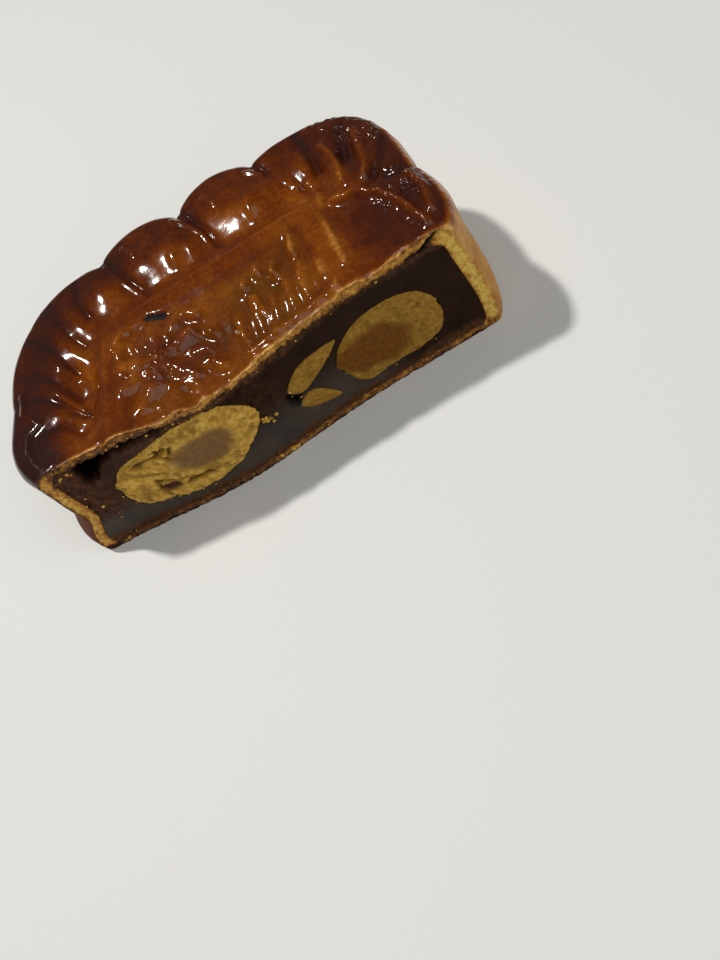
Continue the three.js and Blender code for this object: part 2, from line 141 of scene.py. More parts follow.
def bell(v):
    return np.exp(-v * v)


def mix(a, b, t):
    return a + (b - a) * t


def lattice(cell, seed):
    """A steady random value from 0 to 1 for each whole-number cell."""
    h = cell[..., 0] * 374761393 + cell[..., 1] * 668265263 + cell[..., 2] * 1103515245
    h = (h + seed * 974634777) & 0xFFFFFFFF
    h = ((h ^ (h >> 13)) * 1274126177) & 0xFFFFFFFF
    return (h ^ (h >> 16)) / 0xFFFFFFFF


def uneven(points, size, seed=0, layers=1):
    """Smooth noise from about -1 to 1 whose largest bumps are size apart."""
    total = 0
    for layer in range(layers):
        place = points / (size / 2**layer)
        cell = np.floor(place).astype(np.int64)
        part = place - cell
        part = part * part * (3 - 2 * part)
        value = 0
        for corner in product((0, 1), repeat=3):
            weight = np.where(np.array(corner, bool), part, 1 - part).prod(axis=-1)
            value = value + weight * lattice(cell + np.array(corner), seed + layer)
        total = total + (2 * value - 1) / 2**layer
    return total


def grains(points, size, seed=0):
    """Distance to the nearest of scattered points about size apart, as a share of size."""
    place = points / size
    cell = np.floor(place).astype(np.int64)
    nearest = np.full(points.shape[:-1], 9.0)
    for step in product((-1, 0, 1), repeat=3):
        other = cell + np.array(step)
        jitter = np.stack([lattice(other, seed + k) for k in range(3)], axis=-1)
        nearest = np.minimum(nearest, np.linalg.norm(other + jitter - place, axis=-1))
    return nearest


def xyz(x, y, z):
    return np.stack(np.broadcast_arrays(x, y, z), axis=-1).astype(float)


def resample(points, parts):
    """Points spaced evenly along a polyline."""
    points = np.asarray(points, float)
    steps = np.linalg.norm(np.diff(points, axis=0), axis=1)
    along = np.concatenate([[0], np.cumsum(steps)])
    wanted = np.linspace(0, along[-1], parts + 1)
    return np.stack([np.interp(wanted, along, points[:, k]) for k in range(points.shape[1])], axis=1)


def stretched(near, far, first, last):
    """A grid stretched between four edges: near and far run along it, first and last across."""
    u = np.linspace(0, 1, len(near))[:, None, None]
    v = np.linspace(0, 1, len(first))[None, :, None]
    along = mix(near[:, None], far[:, None], v) + mix(first[None], last[None], u)
    corners = mix(mix(near[0], far[0], v), mix(near[-1], far[-1], v), u)
    return along - corners


# Shape of the whole cake ----
def wall_radius(angle, lobe=1.0, filled=0.0):
    """Distance from the cake's middle to the wall. Lobe is the share of the lobes that is kept,
    and filled is how far the notches between them have closed."""
    cosine = np.cos(angle)
    power = mix(SQUARE_LEFT, SQUARE_RIGHT, smooth(-0.6, 0.6, cosine))
    sides = np.abs(cosine) ** power + np.abs(np.sin(angle)) ** power
    at = np.radians([notch[0] for notch in NOTCHES])
    k = np.clip(np.searchsorted(at, angle, side="right") - 1, 0, len(LOBES) - 1)
    bulge = np.abs(np.sin(math.pi * (angle - at[k]) / (at[k + 1] - at[k]))) ** LOBE_ROUND
    bulge = mix(bulge, 1, filled)
    crest = np.interp(angle, (at[1:] + at[:-1]) / 2, LOBES)
    notch = np.interp(angle, at, [notch[1] for notch in NOTCHES])
    return HALF_WIDTH * sides ** (-1 / power) + lobe * mix(notch, crest, bulge)


def flare_at(x, z):
    """How far the wall stands out from its rim at a height. It starts lower on the left."""
    right = FLARE_RIGHT * (1 - smooth(5, 22.5, z))
    left = FLARE_LEFT * (1 - smooth(3, 11, z))
    return mix(left, right, smooth(-20, 20, x))


def radius_at(angle, z, lobe=1.0, inset=0.0):
    """Distance to the wall at a height. The first notch after the cut closes below the rim."""
    from_notch = angle - math.radians(NOTCHES[1][0])
    filled = FILLED * (1 - smooth(14, 23, z)) * bell(from_notch / 0.3)
    return wall_radius(angle, lobe, filled) - inset + flare_at(HALF_WIDTH * np.cos(angle), z)


def cut_at(x):
    """Where the cut is, in Y: it bows towards the front left of the middle."""
    return -CUT_BOW * bell((x - CUT_BOW_AT) / CUT_BOW_REACH)


def sag_at(x, y):
    """The sunk part of the top along the cut: steep on the left and gentle on the right."""
    reach = np.where(x < SAG_AT, SAG_REACH_LEFT, SAG_REACH_RIGHT)
    return SAG * bell((x - SAG_AT) / reach) * bell(y / SAG_REACH_BACK)


# The moulded pattern ----
# Creases between the petals, from the rim inwards. The first is the nearest the cut on the left.
CREASES = (
    ((-36, 6), (-32, 7), (-28.6, 6), (-26, 3.4)),
    ((-35.4, 14.6), (-31.4, 13.4), (-28, 10.4), (-25, 6.6)),
    ((-34, 20), (-30.4, 17.8), (-27.6, 14.4), (-25.4, 10.4)),
    ((-31, 26.8), (-28, 23.4), (-26, 19.4), (-24.6, 15.4)),
    ((-26, 31.6), (-24.6, 27), (-23.8, 23), (-22, 20)),
    ((-20, 33.6), (-20.6, 29), (-19.6, 25)),
    ((-15, 36), (-13.2, 32), (-11, 27), (-8.8, 22.6)),
    ((0.7, 36.4), (2.4, 33), (4.2, 28), (5.2, 22.4)),
    ((15.3, 36.5), (18, 31.2), (20.6, 26.2), (22.6, 22)),
    ((24.6, 35.6), (25, 31), (24.8, 26)),
    ((31.4, 31.6), (30.4, 28.6), (29.4, 25)),
    ((36.4, 24), (34.4, 20.4), (31.4, 17)),
    ((38, 15), (35.6, 15), (33.4, 15.6)),
)
# Thin raised lines: beside some creases, round the large leaf and between the flutes.
RIDGES = (
    ((-14, 33), (-12.2, 28.4), (-9.8, 23.6)),
    ((-10, 34), (-8.6, 31.4)),
    ((-0.2, 33.4), (1.6, 31), (3.6, 27.4), (4.4, 22.8)),
    ((6, 34), (7.4, 31.4)),
    ((14.4, 34), (16.6, 31.8)),
    ((18, 32), (19.2, 28.8), (20.6, 25.6)),
    ((22.2, 24.4), (22.9, 21.4), (22.4, 18)),
    ((27, 29.4), (28, 26.4), (27.8, 23), (27, 19.6)),
    ((32.8, 28.4), (32.2, 24.2), (31.8, 20.6), (30.4, 18)),
    ((24, 18), (27.6, 16.2), (30.8, 12.8), (32.4, 9.4), (33.4, 5), (34.2, 2)),
    ((36, 13.6), (36.6, 9.4), (35.6, 4)),
    ((-28.2, 12.2), (-25, 7.4)),
    ((-26.6, 17.6), (-24, 13.6)),
    ((-34.1, 15.7), (-34.5, 12.1), (-33, 9.6)),
    ((-32.2, 8.8), (-34.5, 7.8), (-35.2, 5.5), (-35, 2.4), (-34, 0.8)),
)
# Smooth hollows: middle, half width, half length, how far each leans to the right as it goes
# back, depth, and how much paler (1, amber) or darker (-1, brown) it is painted. The first is
# the large leaf at the right end of the cut. Those of no depth are only tones.
HOLLOWS = (
    ((27.6, 8.4), 5, 10, -0.18, 0.6, -0.9),
    ((34.8, 9), 1.8, 5.6, -0.06, 0.55, -1),
    ((25, 24.6), 1.7, 6, 0.02, 0.7, -0.3),
    ((29.8, 23.4), 1.8, 6, 0.1, 0.5, -1),
    ((-3, 25.4), 5, 4.6, -0.1, 0, 1),
    ((9.8, 25.4), 5, 4.6, -0.1, 0, 1),
    ((19.6, 23), 3, 4, -0.1, 0, 0.8),
    ((23.4, 28.4), 1.6, 3.4, -0.1, 0, 0.8),
    ((-15.6, 25), 3.4, 3.6, -0.3, 0, 0.7),
    ((-23.2, 10.4), 3.4, 8.5, -0.2, 0.8, 0),
    ((-22.6, 16), 3, 9.5, -0.25, 0, 1),
    ((-25, 2.6), 2.6, 4, -0.3, 0.5, 0.3),
    ((21.6, 11), 1.8, 8, 0, 0, 0.5),
)
# Thin raised strokes on the motifs, left and right, painted paler: partly a paler glaze and partly a painted
# highlight.
STROKES = (
    ((-9, 14.6), (-8.2, 10.6)),
    ((-12.6, 10.7), (-10.4, 9.4), (-8.6, 8.9)),
    ((-17.3, 14.4), (-16.7, 13)),
    ((-16.2, 9), (-15.8, 7.5)),
    ((-13.4, 7.2), (-11.7, 5.9)),
    ((-15.6, 0.9), (-13.3, 0.4)),
    ((-13.2, 15), (-12.1, 13.2)),
    ((-5.3, 11.4), (-3.7, 8.7)),
    ((-3.1, 5.4), (-3.1, 3.4)),
    ((2.5, 3), (2.2, 8)),
    ((7.4, 1), (7.3, 5), (6.9, 9)),
    ((10.8, 11), (12, 10.2)),
    ((13.9, 3.3), (13.9, 8.1)),
    ((15, 12.4), (16, 17.6)),
    ((17.4, 5.2), (17.2, 8.6)),
    ((17.4, 0.6), (18.9, 2.7)),
    ((21, 4.8), (21.6, 14)),
)
# Low bosses on the petals and, last, a knob beside the large leaf, as in HOLLOWS, with a height and
# no tone.
BOSSES = (
    ((-2.2, 27.4), 2, 3.8, -0.1, 0.32),
    ((13.3, 27.6), 2, 3.8, 0, 0.5),
    ((12.3, 25.4), 0.8, 2.2, 0.13, 0.4),
    ((-2.6, 25.6), 0.8, 1.8, 0.1, 0.25),
    ((9.8, 26.2), 1.1, 2, -0.1, 0.14),
    ((5, 28.4), 1, 2.6, -0.2, 0.14),
    ((-16.6, 28.6), 1.6, 2.6, -0.2, 0.25),
    ((-20.6, 27.4), 1.6, 2.4, -0.2, 0.22),
    ((-26, 29.4), 1.6, 2.4, -0.3, 0.22),
    ((23.4, 1.8), 1.7, 1.7, 0, 0.7),
)


def to_segment(x, y, start, end):
    """Distance to a straight stretch between two points, and how far along it the point is."""
    dx, dy = end[0] - start[0], end[1] - start[1]
    along = clamp(((x - start[0]) * dx + (y - start[1]) * dy) / (dx * dx + dy * dy))
    return np.hypot(x - start[0] - along * dx, y - start[1] - along * dy), along


def to_lines(x, y, lines):
    """Distance to the nearest of some bent lines."""
    nearest = np.full(np.shape(x), 99.0)
    for line in lines:
        for start, end in zip(line, line[1:]):
            nearest = np.minimum(nearest, to_segment(x, y, start, end)[0])
    return nearest


def stroke(x, y, start, end, half_width):
    """A rounded stroke between two points, 1 along its middle and 0 outside it."""
    away, _ = to_segment(x, y, start, end)
    return np.maximum(1 - (away / half_width) ** 2, 0) ** 0.75


def leaf(x, y, foot, tip, half_width):
    """A plump, soft-edged leaf, 1 along its middle and 0 outside it."""
    away, along = to_segment(x, y, foot, tip)
    reach = half_width * np.sin(math.pi * np.clip(along, 0.1, 0.9)) ** 0.5
    return np.maximum(1 - (away / reach) ** 2, 0) ** 1.2


def from_oval(x, y, middle, wide, long, slant):
    """Distance from the middle of a leaning oval, as a share of its half width and half length."""
    dx, dy = x - middle[0] - slant * (y - middle[1]), y - middle[1]
    return np.hypot(dx / wide, dy / long)


def highest_leaf(x, y, leaves):
    """The highest of some leaves, each given by its height, foot, tip and half width."""
    return np.max([height * leaf(x, y, *place) for height, *place in leaves], axis=0)


def blossom(x, y):
    """Left motif: a blossom of five petals with a boss, with leaves and buds round it and a ring
    below it at the cut."""
    middle = np.array([-10.4, 8.2])
    leaves = [
        (0.8, (-16.8, 1.2), (-13.4, 3.2), 1.3), (0.8, (-17, 15), (-14.4, 17), 1.2),
        (0.8, (-16.8, 11.4), (-16, 13.6), 1.1), (0.8, (-4.6, 14.6), (-2.4, 12.2), 1.1),
        (0.8, (-3.8, 3.4), (-1.6, 1.2), 1.1), (0.8, (-2.4, 9.4), (-1, 7.4), 1.0),
    ]
    for k in range(10):
        height, near, far, half_width = ((1, 1.4, 6.4, 2.4), (0.75, 4.6, 8, 1.3))[k % 2]
        angle = math.pi / 2 + k * math.pi / 5
        way = np.array([math.cos(angle), math.sin(angle)])
        leaves.append((height, middle + near * way, middle + far * way, half_width))
    boss = bell(np.hypot(x - middle[0], y - middle[1]) / 1.5)
    ring = 0.8 * bell((np.hypot((x + 9.2) / 1.15, y - 0.4) - 2.1) / 0.55)
    return np.maximum(np.maximum(boss, ring), highest_leaf(x, y, leaves))


def leaf_spray(x, y):
    """Right motif: upright leaves in two rows above a stem."""
    leaves = [
        (1, (5.4, 11.4), (6.4, 13.6), 1.1), (1, (10.6, 10.4), (11.6, 13.4), 1.2),
        (1, (14.8, 11.6), (15.8, 15.6), 1.3), (1, (8.4, 12.6), (9, 14.8), 0.9),
    ]
    for k, tall in enumerate((5.4, 7.2, 5.2, 6.4, 7.6, 5.2)):
        lifted = mix(0.35, 1, clamp((y - 2) / tall))
        foot = np.array([2.6 + 2.9 * k, 2.4])
        leaves.append((lifted, foot, foot + np.array([0.8, tall]), 1.6))
    stem = 0.8 * stroke(x, y, (2.4, 0.6), (18.4, 1.2), 1.0)
    return np.maximum(stem, highest_leaf(x, y, leaves))


def softened(motif, x, y):
    """The mean of a motif over a small square round a point."""
    steps = (-SOFTEN, 0, SOFTEN)
    return sum(motif(x + dx, y + dy) for dx, dy in product(steps, steps)) / len(steps) ** 2


def rim_share(x, y, radius):
    """How far a point lies from the frame's edge (0) to the wall (1), and below 0 in the frame."""
    angle = np.arctan2(y, x)
    edge = np.where(x > 0, FRAME_RIGHT, -FRAME_LEFT + FRAME_SLANT * (FRAME_BACK - y))
    c = np.abs(np.cos(angle)) / edge
    s = np.abs(np.sin(angle)) / FRAME_BACK
    frame_edge = (c**FRAME_SQUARE + s**FRAME_SQUARE) ** (-1 / FRAME_SQUARE)
    return (np.hypot(x, y) - frame_edge) / (radius - frame_edge)


def petals_at(x, y, share, radius):
    """Height of the petals, which rise from the frame towards the rim with creases between them, and
    what stands where on them."""
    left, right = smooth(-16, -26, x), smooth(16, 20, x)
    risen = smooth(0.05, 0.3, share)
    crest = mix(CREST, CREST_LEFT, left * (1 - smooth(4, 16, y)))
    swell = mix(-TROUGH, crest, smooth(0.02, 0.5, share))
    crease = to_lines(x, y, CREASES)
    fading = smooth(mix(0.55, 0.3, left), mix(0.9, 0.6, left), share)
    reach = mix(CREASE_REACH, CREASE_REACH_LEFT, smooth(-14, -22, x))
    crease_depth = CREASE * risen * mix(1, mix(0.3, 0.1, left), fading)
    crease_depth = crease_depth * (1 - clamp(crease / reach)) ** 2
    crease_depth = crease_depth + CREASE_LINE * bell(crease / 0.5) * smooth(-22, -14, x) * risen
    ridge = bell(to_lines(x, y, RIDGES) / mix(RIDGE_HALF_WIDTH, RIDGE_HALF_WIDTH_RIGHT, right))
    within = [1 - smooth(0.25, 1.1, from_oval(x, y, *hollow[:4])) for hollow in HOLLOWS]
    hollows = sum(hollow[4] * share_in for hollow, share_in in zip(HOLLOWS, within))
    amber = sum(hollow[5] * share_in for hollow, share_in in zip(HOLLOWS, within))
    bosses = sum(boss[4] * bell(from_oval(x, y, *boss[:4])) for boss in BOSSES)
    height = swell - crease_depth + mix(RIDGE_RISE, RIDGE_RISE_RIGHT, right) * ridge - hollows + bosses
    tip = TIP_INSET * (1 + 0.7 * bell(crease / 1.7))
    step = smooth(tip + 0.9, tip - 0.9, radius - np.hypot(x, y))
    flat = smooth(-5, -15, x) * (1 - smooth(0, 6, y))
    outside = smooth(*FRAME_TO_PETALS, share)
    masks = {
        "rim": smooth(0.3, 0.72, share) * outside,
        "amber": np.clip(amber, -1, 1) * np.where(x > 18, 1, outside),
        "crease": bell(crease / 0.9) * outside,
        "large leaf": within[0] * outside,
        "ridge": ridge,
        "wrinkled": ridge * right,
    }
    return height * (1 - 0.85 * flat) - TIP_STEP * step, masks


def frame_at(x, y):
    """Height of the frame, a flat band with sunk ground inside it, on which the motifs stand, and
    what stands where in it."""
    side = np.where(x > 0, FRAME_RIGHT - x, x - FRAME_LEFT - FRAME_SLANT * (y - FRAME_BACK))
    inside = np.minimum(side, FRAME_BACK - y)
    band = smooth(-0.9, 0.6, inside) * (1 - smooth(BAND - 1.2, BAND + 0.8, inside))
    ground = smooth(BAND - 1.2, BAND + 4.5, inside)
    motifs = np.maximum(softened(blossom, x, y), softened(leaf_spray, x, y))
    masks = {
        "ground": ground * (1 - motifs),
        "motif": motifs,
        "purple": bell(np.hypot(x + 10, y - 8) / 8) * ground,
        "band": band,
        "band edge": bell((inside - 0.3) / 0.5) - 0.8 * bell((inside - BAND - 0.2) / 0.8),
    }
    return BAND_RISE * band - GROUND * ground * (1 - motifs) + MOTIF_RISE * motifs, masks


def pattern_at(x, back_y):
    """Height of the moulded pattern above the top's plain level, and what stands where."""
    y = np.maximum(back_y, 0)
    radius = wall_radius(np.arctan2(y, x))
    share = rim_share(x, y, radius)
    outer, on_petals = petals_at(x, y, share, radius)
    inner, in_frame = frame_at(x, y)
    strokes = bell(to_lines(x, y, STROKES) / STROKE_HALF_WIDTH)
    masks = {**on_petals, **in_frame, "stroke": strokes, "wrinkled": strokes + on_petals["wrinkled"]}
    return mix(inner, outer, smooth(*FRAME_TO_PETALS, share)) + STROKE_RISE * strokes, masks


SLIT = ((-10.3, 17.2), (-7.7, 16))  # a crack in the glaze at the inner edge of the frame's band
SLIT_HALF_WIDTH = 0.55
SLIT_DEPTH = 0.6
# Where the glaze has blistered most on the right: middle and reach.
BLISTERED = (((29, 34), 2.0), ((31.5, 30.5), 1.8), ((35, 26), 3.0), ((36.3, 12), 2.4), ((32, 11.5), 2.2))
BLISTER_RISE = 0.48
LIP = 0.4  # the top's grid ends this far inside the wall, and the wall's columns take over


def top_at(x, y):
    """Height of the crust's top, with its rounded shoulder, and the pattern's masks."""
    on_plan = np.maximum(y, 0)
    radius = wall_radius(np.arctan2(on_plan, x))
    past = clamp((np.hypot(x, on_plan) - radius + SHOULDER) / SHOULDER)
    height, masks = pattern_at(x, y)
    flat = SHOULDER - sag_at(x, y) + height
    z = WALL_TOP + flat * np.sqrt(1 - np.minimum(past, 0.999) ** 2)
    masks["slit"] = stroke(x, y, *SLIT, SLIT_HALF_WIDTH)
    masks["shoulder"] = past
    z = z - SLIT_DEPTH * masks["slit"]
    spots = xyz(x, y, 0)
    clusters = sum(bell(np.hypot(x - at[0], y - at[1]) / reach) for at, reach in BLISTERED)
    masks["blistered"] = smooth(24, 31, x) * smooth(0.1, 0.5, masks["rim"]) * (0.3 + clusters)
    blisters = masks["blistered"] * (0.4 - clamp(grains(spots, 1.1, 32) / 0.6))
    motif = masks["motif"]
    z = z + BLISTER_RISE * blisters
    # Finer unevenness: how high, how large its bumps, a seed and the layers of noise.
    for rise, *noise in (
        (0.06, 6, 33),
        (0.015 + 0.13 * motif, 1.9, 35, 2),
        (0.03 * masks["ground"] + 0.11 * motif, 0.9, 37),
        (0.16 * masks["wrinkled"], 1.1, 39),
        (0.03 * masks["rim"], 2.4, 40),
    ):
        z = z + rise * uneven(spots, *noise)
    return z, masks


# Meshes ----
def placed(name, data):
    """A new object in the scene."""
    made = bpy.data.objects.new(name, data)
    bpy.context.scene.collection.objects.link(made)
    return made


def quads(index):
    """The four-sided faces of a grid of vertex numbers."""
    corners = [index[:-1, :-1], index[1:, :-1], index[1:, 1:], index[:-1, 1:]]
    return np.stack(corners, axis=-1).reshape(-1, 4)


class Body:
    """Vertices and faces of one closed mesh, with values for its material on each vertex."""

    def __init__(self, *values):
        self.points = []
        self.faces = []
        self.values = {name: [] for name in values}
        self.count = 0

    def add(self, points, **values):
        """Adds points of any array shape, and returns their numbers in that shape."""
        shape = points.shape[:-1]
        size = int(np.prod(shape))
        self.points.append(points.reshape(-1, 3))
        for name, kept in self.values.items():
            kept.append(np.broadcast_to(values.get(name, 0.0), shape).reshape(-1))
        self.count += size
        return np.arange(self.count - size, self.count).reshape(shape)

    def face(self, faces):
        self.faces.append(np.asarray(faces))

    def grid(self, points, **values):
        """Adds a grid of points with its faces, and returns their numbers."""
        numbers = self.add(points, **values)
        self.face(quads(numbers))
        return numbers

    def ring(self, one, points, **values):
        """Adds a closed loop, joins it to one of as many vertices, or of twice as many, and returns
        its numbers."""
        other = self.add(points, **values)
        i = np.arange(len(other))
        after = (i + 1) % len(other)
        if len(one) == len(other):
            self.face(np.stack([one, one[after], other[after], other], axis=-1))
            return other
        first, middle, last = one[2 * i], one[2 * i + 1], one[(2 * i + 2) % len(one)]
        self.face(np.stack([first, middle, other], axis=-1))
        self.face(np.stack([middle, other[after], other], axis=-1))
        self.face(np.stack([middle, last, other[after]], axis=-1))
        return other

    def cap(self, loop, point, **values):
        """Closes a loop with a fan round a new vertex."""
        middle = self.add(point, **values)
        self.face(np.stack([loop, np.roll(loop, -1), np.full(len(loop), middle)], axis=-1))

    def piece(self, name, material, shift):
        """The finished Blender object, in metres, riding on the body."""
        points = (np.concatenate(self.points) + shift) * MM
        mesh = bpy.data.meshes.new(name)
        faces = [tuple(face) for part in self.faces for face in part.tolist()]
        mesh.from_pydata(points.tolist(), [], faces)
        for key, kept in self.values.items():
            layer = mesh.attributes.new(key, "FLOAT", "POINT")
            layer.data.foreach_set("value", np.concatenate(kept).astype(np.float32))
        shape = bmesh.new()
        shape.from_mesh(mesh)
        bmesh.ops.recalc_face_normals(shape, faces=shape.faces)
        shape.to_mesh(mesh)
        shape.free()
        mesh.shade_smooth()
        mesh.materials.append(material)
        piece = placed(name, mesh)
        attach(piece, "root")
        return piece


def even_angles(start, end, parts):
    """Angles that divide a stretch of the wall evenly."""
    fine = np.linspace(start, end, 1500)
    r = wall_radius(fine)
    steps = np.hypot(np.diff(r * np.cos(fine)), np.diff(r * np.sin(fine)))
    along = np.concatenate([[0], np.cumsum(steps)])
    return np.interp(np.linspace(0, along[-1], parts + 1), along, fine)


def section(inset, parts_across, parts_down):
    """Where a skin inside the crust meets the cut, as four runs of (x, z): over the top from right
    to left, down the left, along the base, and up the right."""
    roof = ROOF - inset
    floor = BASE_CRUST + inset
    rim_top = roof - SHOULDER
    turns = np.linspace(0, math.pi / 2, 8)

    def side(angle):
        way = round(math.cos(angle))
        reach = lambda z: radius_at(angle, z, INNER_LOBE, WALL_CRUST + inset)
        edge = reach(rim_top) - SHOULDER
        lip = roof - sag_at(way * edge, 0)
        bend = [(edge + SHOULDER * math.sin(t), mix(rim_top, lip, math.cos(t))) for t in turns]
        levels = np.linspace(rim_top, floor + FOOT, 16)[1:]
        wall = [(float(reach(z)), z) for z in levels]
        foot = float(reach(floor + FOOT)) - FOOT
        toe = [(foot + FOOT * math.sin(t), floor + FOOT * (1 - math.cos(t))) for t in turns[::-1][1:]]
        return np.array(bend + wall + toe) * np.array([way, 1])

    right, left = side(0.0), side(math.pi)
    x = np.linspace(right[0, 0], left[0, 0], 200)
    top = np.stack([x, roof - sag_at(x, 0)], axis=1)
    base = np.stack([np.linspace(left[-1, 0], right[-1, 0], 50), np.full(50, floor)], axis=1)
    return (
        resample(top, parts_across),
        resample(left, parts_down),
        resample(base, parts_across),
        resample(right[::-1], parts_down),
    )


def joined(runs):
    """One closed loop from runs whose ends meet."""
    return np.concatenate([run[:-1] for run in runs])


def behind(loop, inset, depth):
    """The loop (x, z) of an inner skin where it is this deep behind the cut."""
    x, z = loop[:, 0], loop[:, 1]
    power = np.where(x < 0, SQUARE_LEFT, SQUARE_RIGHT)
    half = HALF_WIDTH - WALL_CRUST - inset
    narrowed = x * (1 - min(depth / half, 0.999) ** power) ** (1 / power)
    floor = BASE_CRUST + inset
    roof = ROOF - inset
    share = clamp((z - floor) / (roof - sag_at(x, 0) - floor))
    raised = z + share * (sag_at(x, 0) - sag_at(narrowed, depth) - TOP_DEEPER * smooth(0, 6, depth))
    y = cut_at(x) * clamp(1 - depth / 6) + depth
    return xyz(narrowed, y, raised)


# How deep behind the cut the rings of an inner skin lie, and at which their vertices are halved.
BACK_RINGS = (0.8, 2.5, 6, 12, 18, 24, 29, 32)
HALVED = (2.5, 6)


def line_back(body, numbers, loop, inset, **values):
    """Carries an open edge back through the cake to a closed end."""
    for depth in BACK_RINGS:
        if depth in HALVED:
            loop = loop[::2]
        points = behind(loop, inset, depth)
        numbers = body.ring(numbers, points, **values)
    body.cap(numbers, points.mean(axis=0), **values)


# Relief of the cut ----
def fray(x, z):
    """How far the broken edge of the crust lies behind the cut."""
    spots = xyz(x, 0, z)
    return 0.07 * uneven(spots, 1.2, 41, 2) + 0.07 * uneven(spots, 0.6, 42)


CUT_SPLITS = (((29, 22.3), (32.5, 23.6), (34.3, 24.6)),)  # between crust and filling, as (x, z)
SPLIT_HALF_WIDTH = 0.4
SPLIT_DEPTH = 1.2
CHIP_DEPTH = 0.45  # how far the glaze has chipped off along the cut


def crumb_relief(x, z):
    """Depth of the crumbly pastry behind the cut."""
    spots = xyz(x, 0, z)
    pits = smooth(0.15, 0.6, uneven(spots, 0.9, 44, 2))
    return 0.35 * pits + 0.3 * (grains(spots, 0.6, 45) - 0.5)


def crust_top(body, right, back, left):
    """The top: a grid stretched between the broken edge at the cut and the wall."""

    def edge_at(angle):
        r = wall_radius(angle) - LIP
        return np.stack([r * np.cos(angle), r * np.sin(angle)], axis=-1)

    first, far, last = edge_at(right), edge_at(back), edge_at(left)[::-1]
    near_x = np.linspace(first[0, 0], last[0, 0], ACROSS + 1)
    near = np.stack([near_x, cut_at(near_x) + fray(near_x, 30)], axis=1)
    first[0], last[0] = near[0], near[-1]
    grid = stretched(near, far, first, last)
    x, y = grid[..., 0], grid[..., 1]
    z, masks = top_at(x, y)
    spots = xyz(x, y, 0)
    away = y - near[:, None, 1]
    chips = smooth(0.1, 0.7, uneven(spots, 1.3, 47, 2)) * bell(away / 0.45)
    bubbly = masks["blistered"] + 0.15 * masks["motif"] + 0.3 * masks["stroke"] + 0.18 * masks["purple"]
    return body.grid(
        xyz(x, y, z - CHIP_DEPTH * chips),
        bake=top_bake_and_painted_light(x, y, masks) - 0.35 * bell(away / 0.5),
        cut=0.8 * bell(away / 0.3),
        glaze=top_glaze(away, masks),
        olive=masks["ground"] * mix(0.8, 1.5, smooth(-2, 6, x)),
        # The slit is painted near black as painted shade.
        dark=smooth(0.0, 0.25, masks["slit"]),
        bubbly=clamp(bubbly),
        purple=masks["purple"] * clamp(0.45 + 0.9 * uneven(spots, 3, 64, 2)),
    )


def crust_sides(body, rims, angles):
    """Lip, wall and foot, which hang from the top's edge in columns."""
    lip = np.concatenate(body.points)[rims, 2]
    turn_from = math.asin(1 - LIP / SHOULDER)
    rows = []
    for turn in np.linspace(turn_from, math.pi / 2, LIP_ROWS + 1)[1:]:
        r = wall_radius(angles) - SHOULDER + SHOULDER * math.sin(turn)
        rows.append((r, mix(WALL_TOP, lip, math.cos(turn) / math.cos(turn_from))))
    for share in np.linspace(0, 1, DOWN - LIP_ROWS - FOOT_ROWS + 1)[1:]:
        height = mix(WALL_TOP, FOOT, share)
        rows.append((radius_at(angles, height), height))
    for turn in np.linspace(0, math.pi / 2, FOOT_ROWS + 1)[1:]:
        r = radius_at(angles, FOOT) - FOOT * (1 - math.cos(turn))
        rows.append((r, FOOT * (1 - math.sin(turn))))
    columns = [rims]
    for r, height in rows:
        spots = xyz(r * np.cos(angles), r * np.sin(angles), height)
        r = r + (0.10 * uneven(spots, 5, 51, 2) + 0.03 * uneven(spots, 1.2, 52)) * smooth(0, 2, height)
        spots = xyz(r * np.cos(angles), r * np.sin(angles), height)
        for end in (0, -1):
            spots[end, 1] = cut_at(spots[end, 0]) + fray(*spots[end, [0, 2]])
        columns.append(body.add(spots, bake=wall_bake(spots), glaze=wall_glaze(spots)))
    columns = np.array(columns)
    body.face(quads(columns))
    return columns


def crust_base(body, feet):
    """The flat base: strips from the back to the cut, and a fan at each end."""
    start, end = np.concatenate(body.points)[feet[[0, -1]], 0]
    x = np.linspace(start, end, ACROSS + 1)[1:-1]
    edge = body.add(xyz(x, cut_at(x) + fray(x, 0), 0), bake=0.7)
    base = np.concatenate([feet[:1], edge, feet[-1:]])
    body.face(quads(np.stack([base, feet[DEEP:DEEP + ACROSS + 1]])))
    for k in range(1, DEEP):
        far_end = DEEP + ACROSS + k
        body.face([[feet[0], feet[k], feet[k + 1]]])
        body.face([[feet[-1], feet[far_end - 1], feet[far_end]]])
    return base


def crust_cut(body, numbers):
    """The cut face, from the outer edge to the inner one, and the inside."""
    outer_loop = np.concatenate(body.points)[numbers][:, [0, 2]]
    inner_loop = joined(section(0, ACROSS, DOWN))
    for layer in range(1, THROUGH + 1):
        share = layer / THROUGH
        x, z = mix(outer_loop, inner_loop, share).T
        split = bell(to_lines(x, z, CUT_SPLITS) / SPLIT_HALF_WIDTH)
        back_by = fray(x, z) + crumb_relief(x, z) + SPLIT_DEPTH * split
        place = xyz(x, cut_at(x) + back_by, z)
        # The split between crust and filling is painted near black as painted shade.
        values = {"bake": cut_bake(x, z, share), "cut": 1.0, "dark": smooth(0.2, 0.7, split)}
        numbers = body.ring(numbers, place, **values)
    line_back(body, numbers, inner_loop, 0, bake=0.8, cut=1.0)


def crust_body():
    body = Body("bake", "cut", "glaze", "olive", "dark", "bubbly", "purple")
    right = even_angles(0, math.pi / 4, DEEP)
    back = even_angles(math.pi / 4, 3 * math.pi / 4, ACROSS)
    left = even_angles(3 * math.pi / 4, math.pi, DEEP)
    top = crust_top(body, right, back, left)
    rims = np.concatenate([top[0], top[1:, -1], top[-1, ::-1][1:]])
    columns = crust_sides(body, rims, np.concatenate([right, back[1:], left[1:]]))
    base = crust_base(body, columns[-1])
    crust_cut(body, joined([top[:, 0], columns[:, -1], base[::-1], columns[::-1, 0]]))
    return body


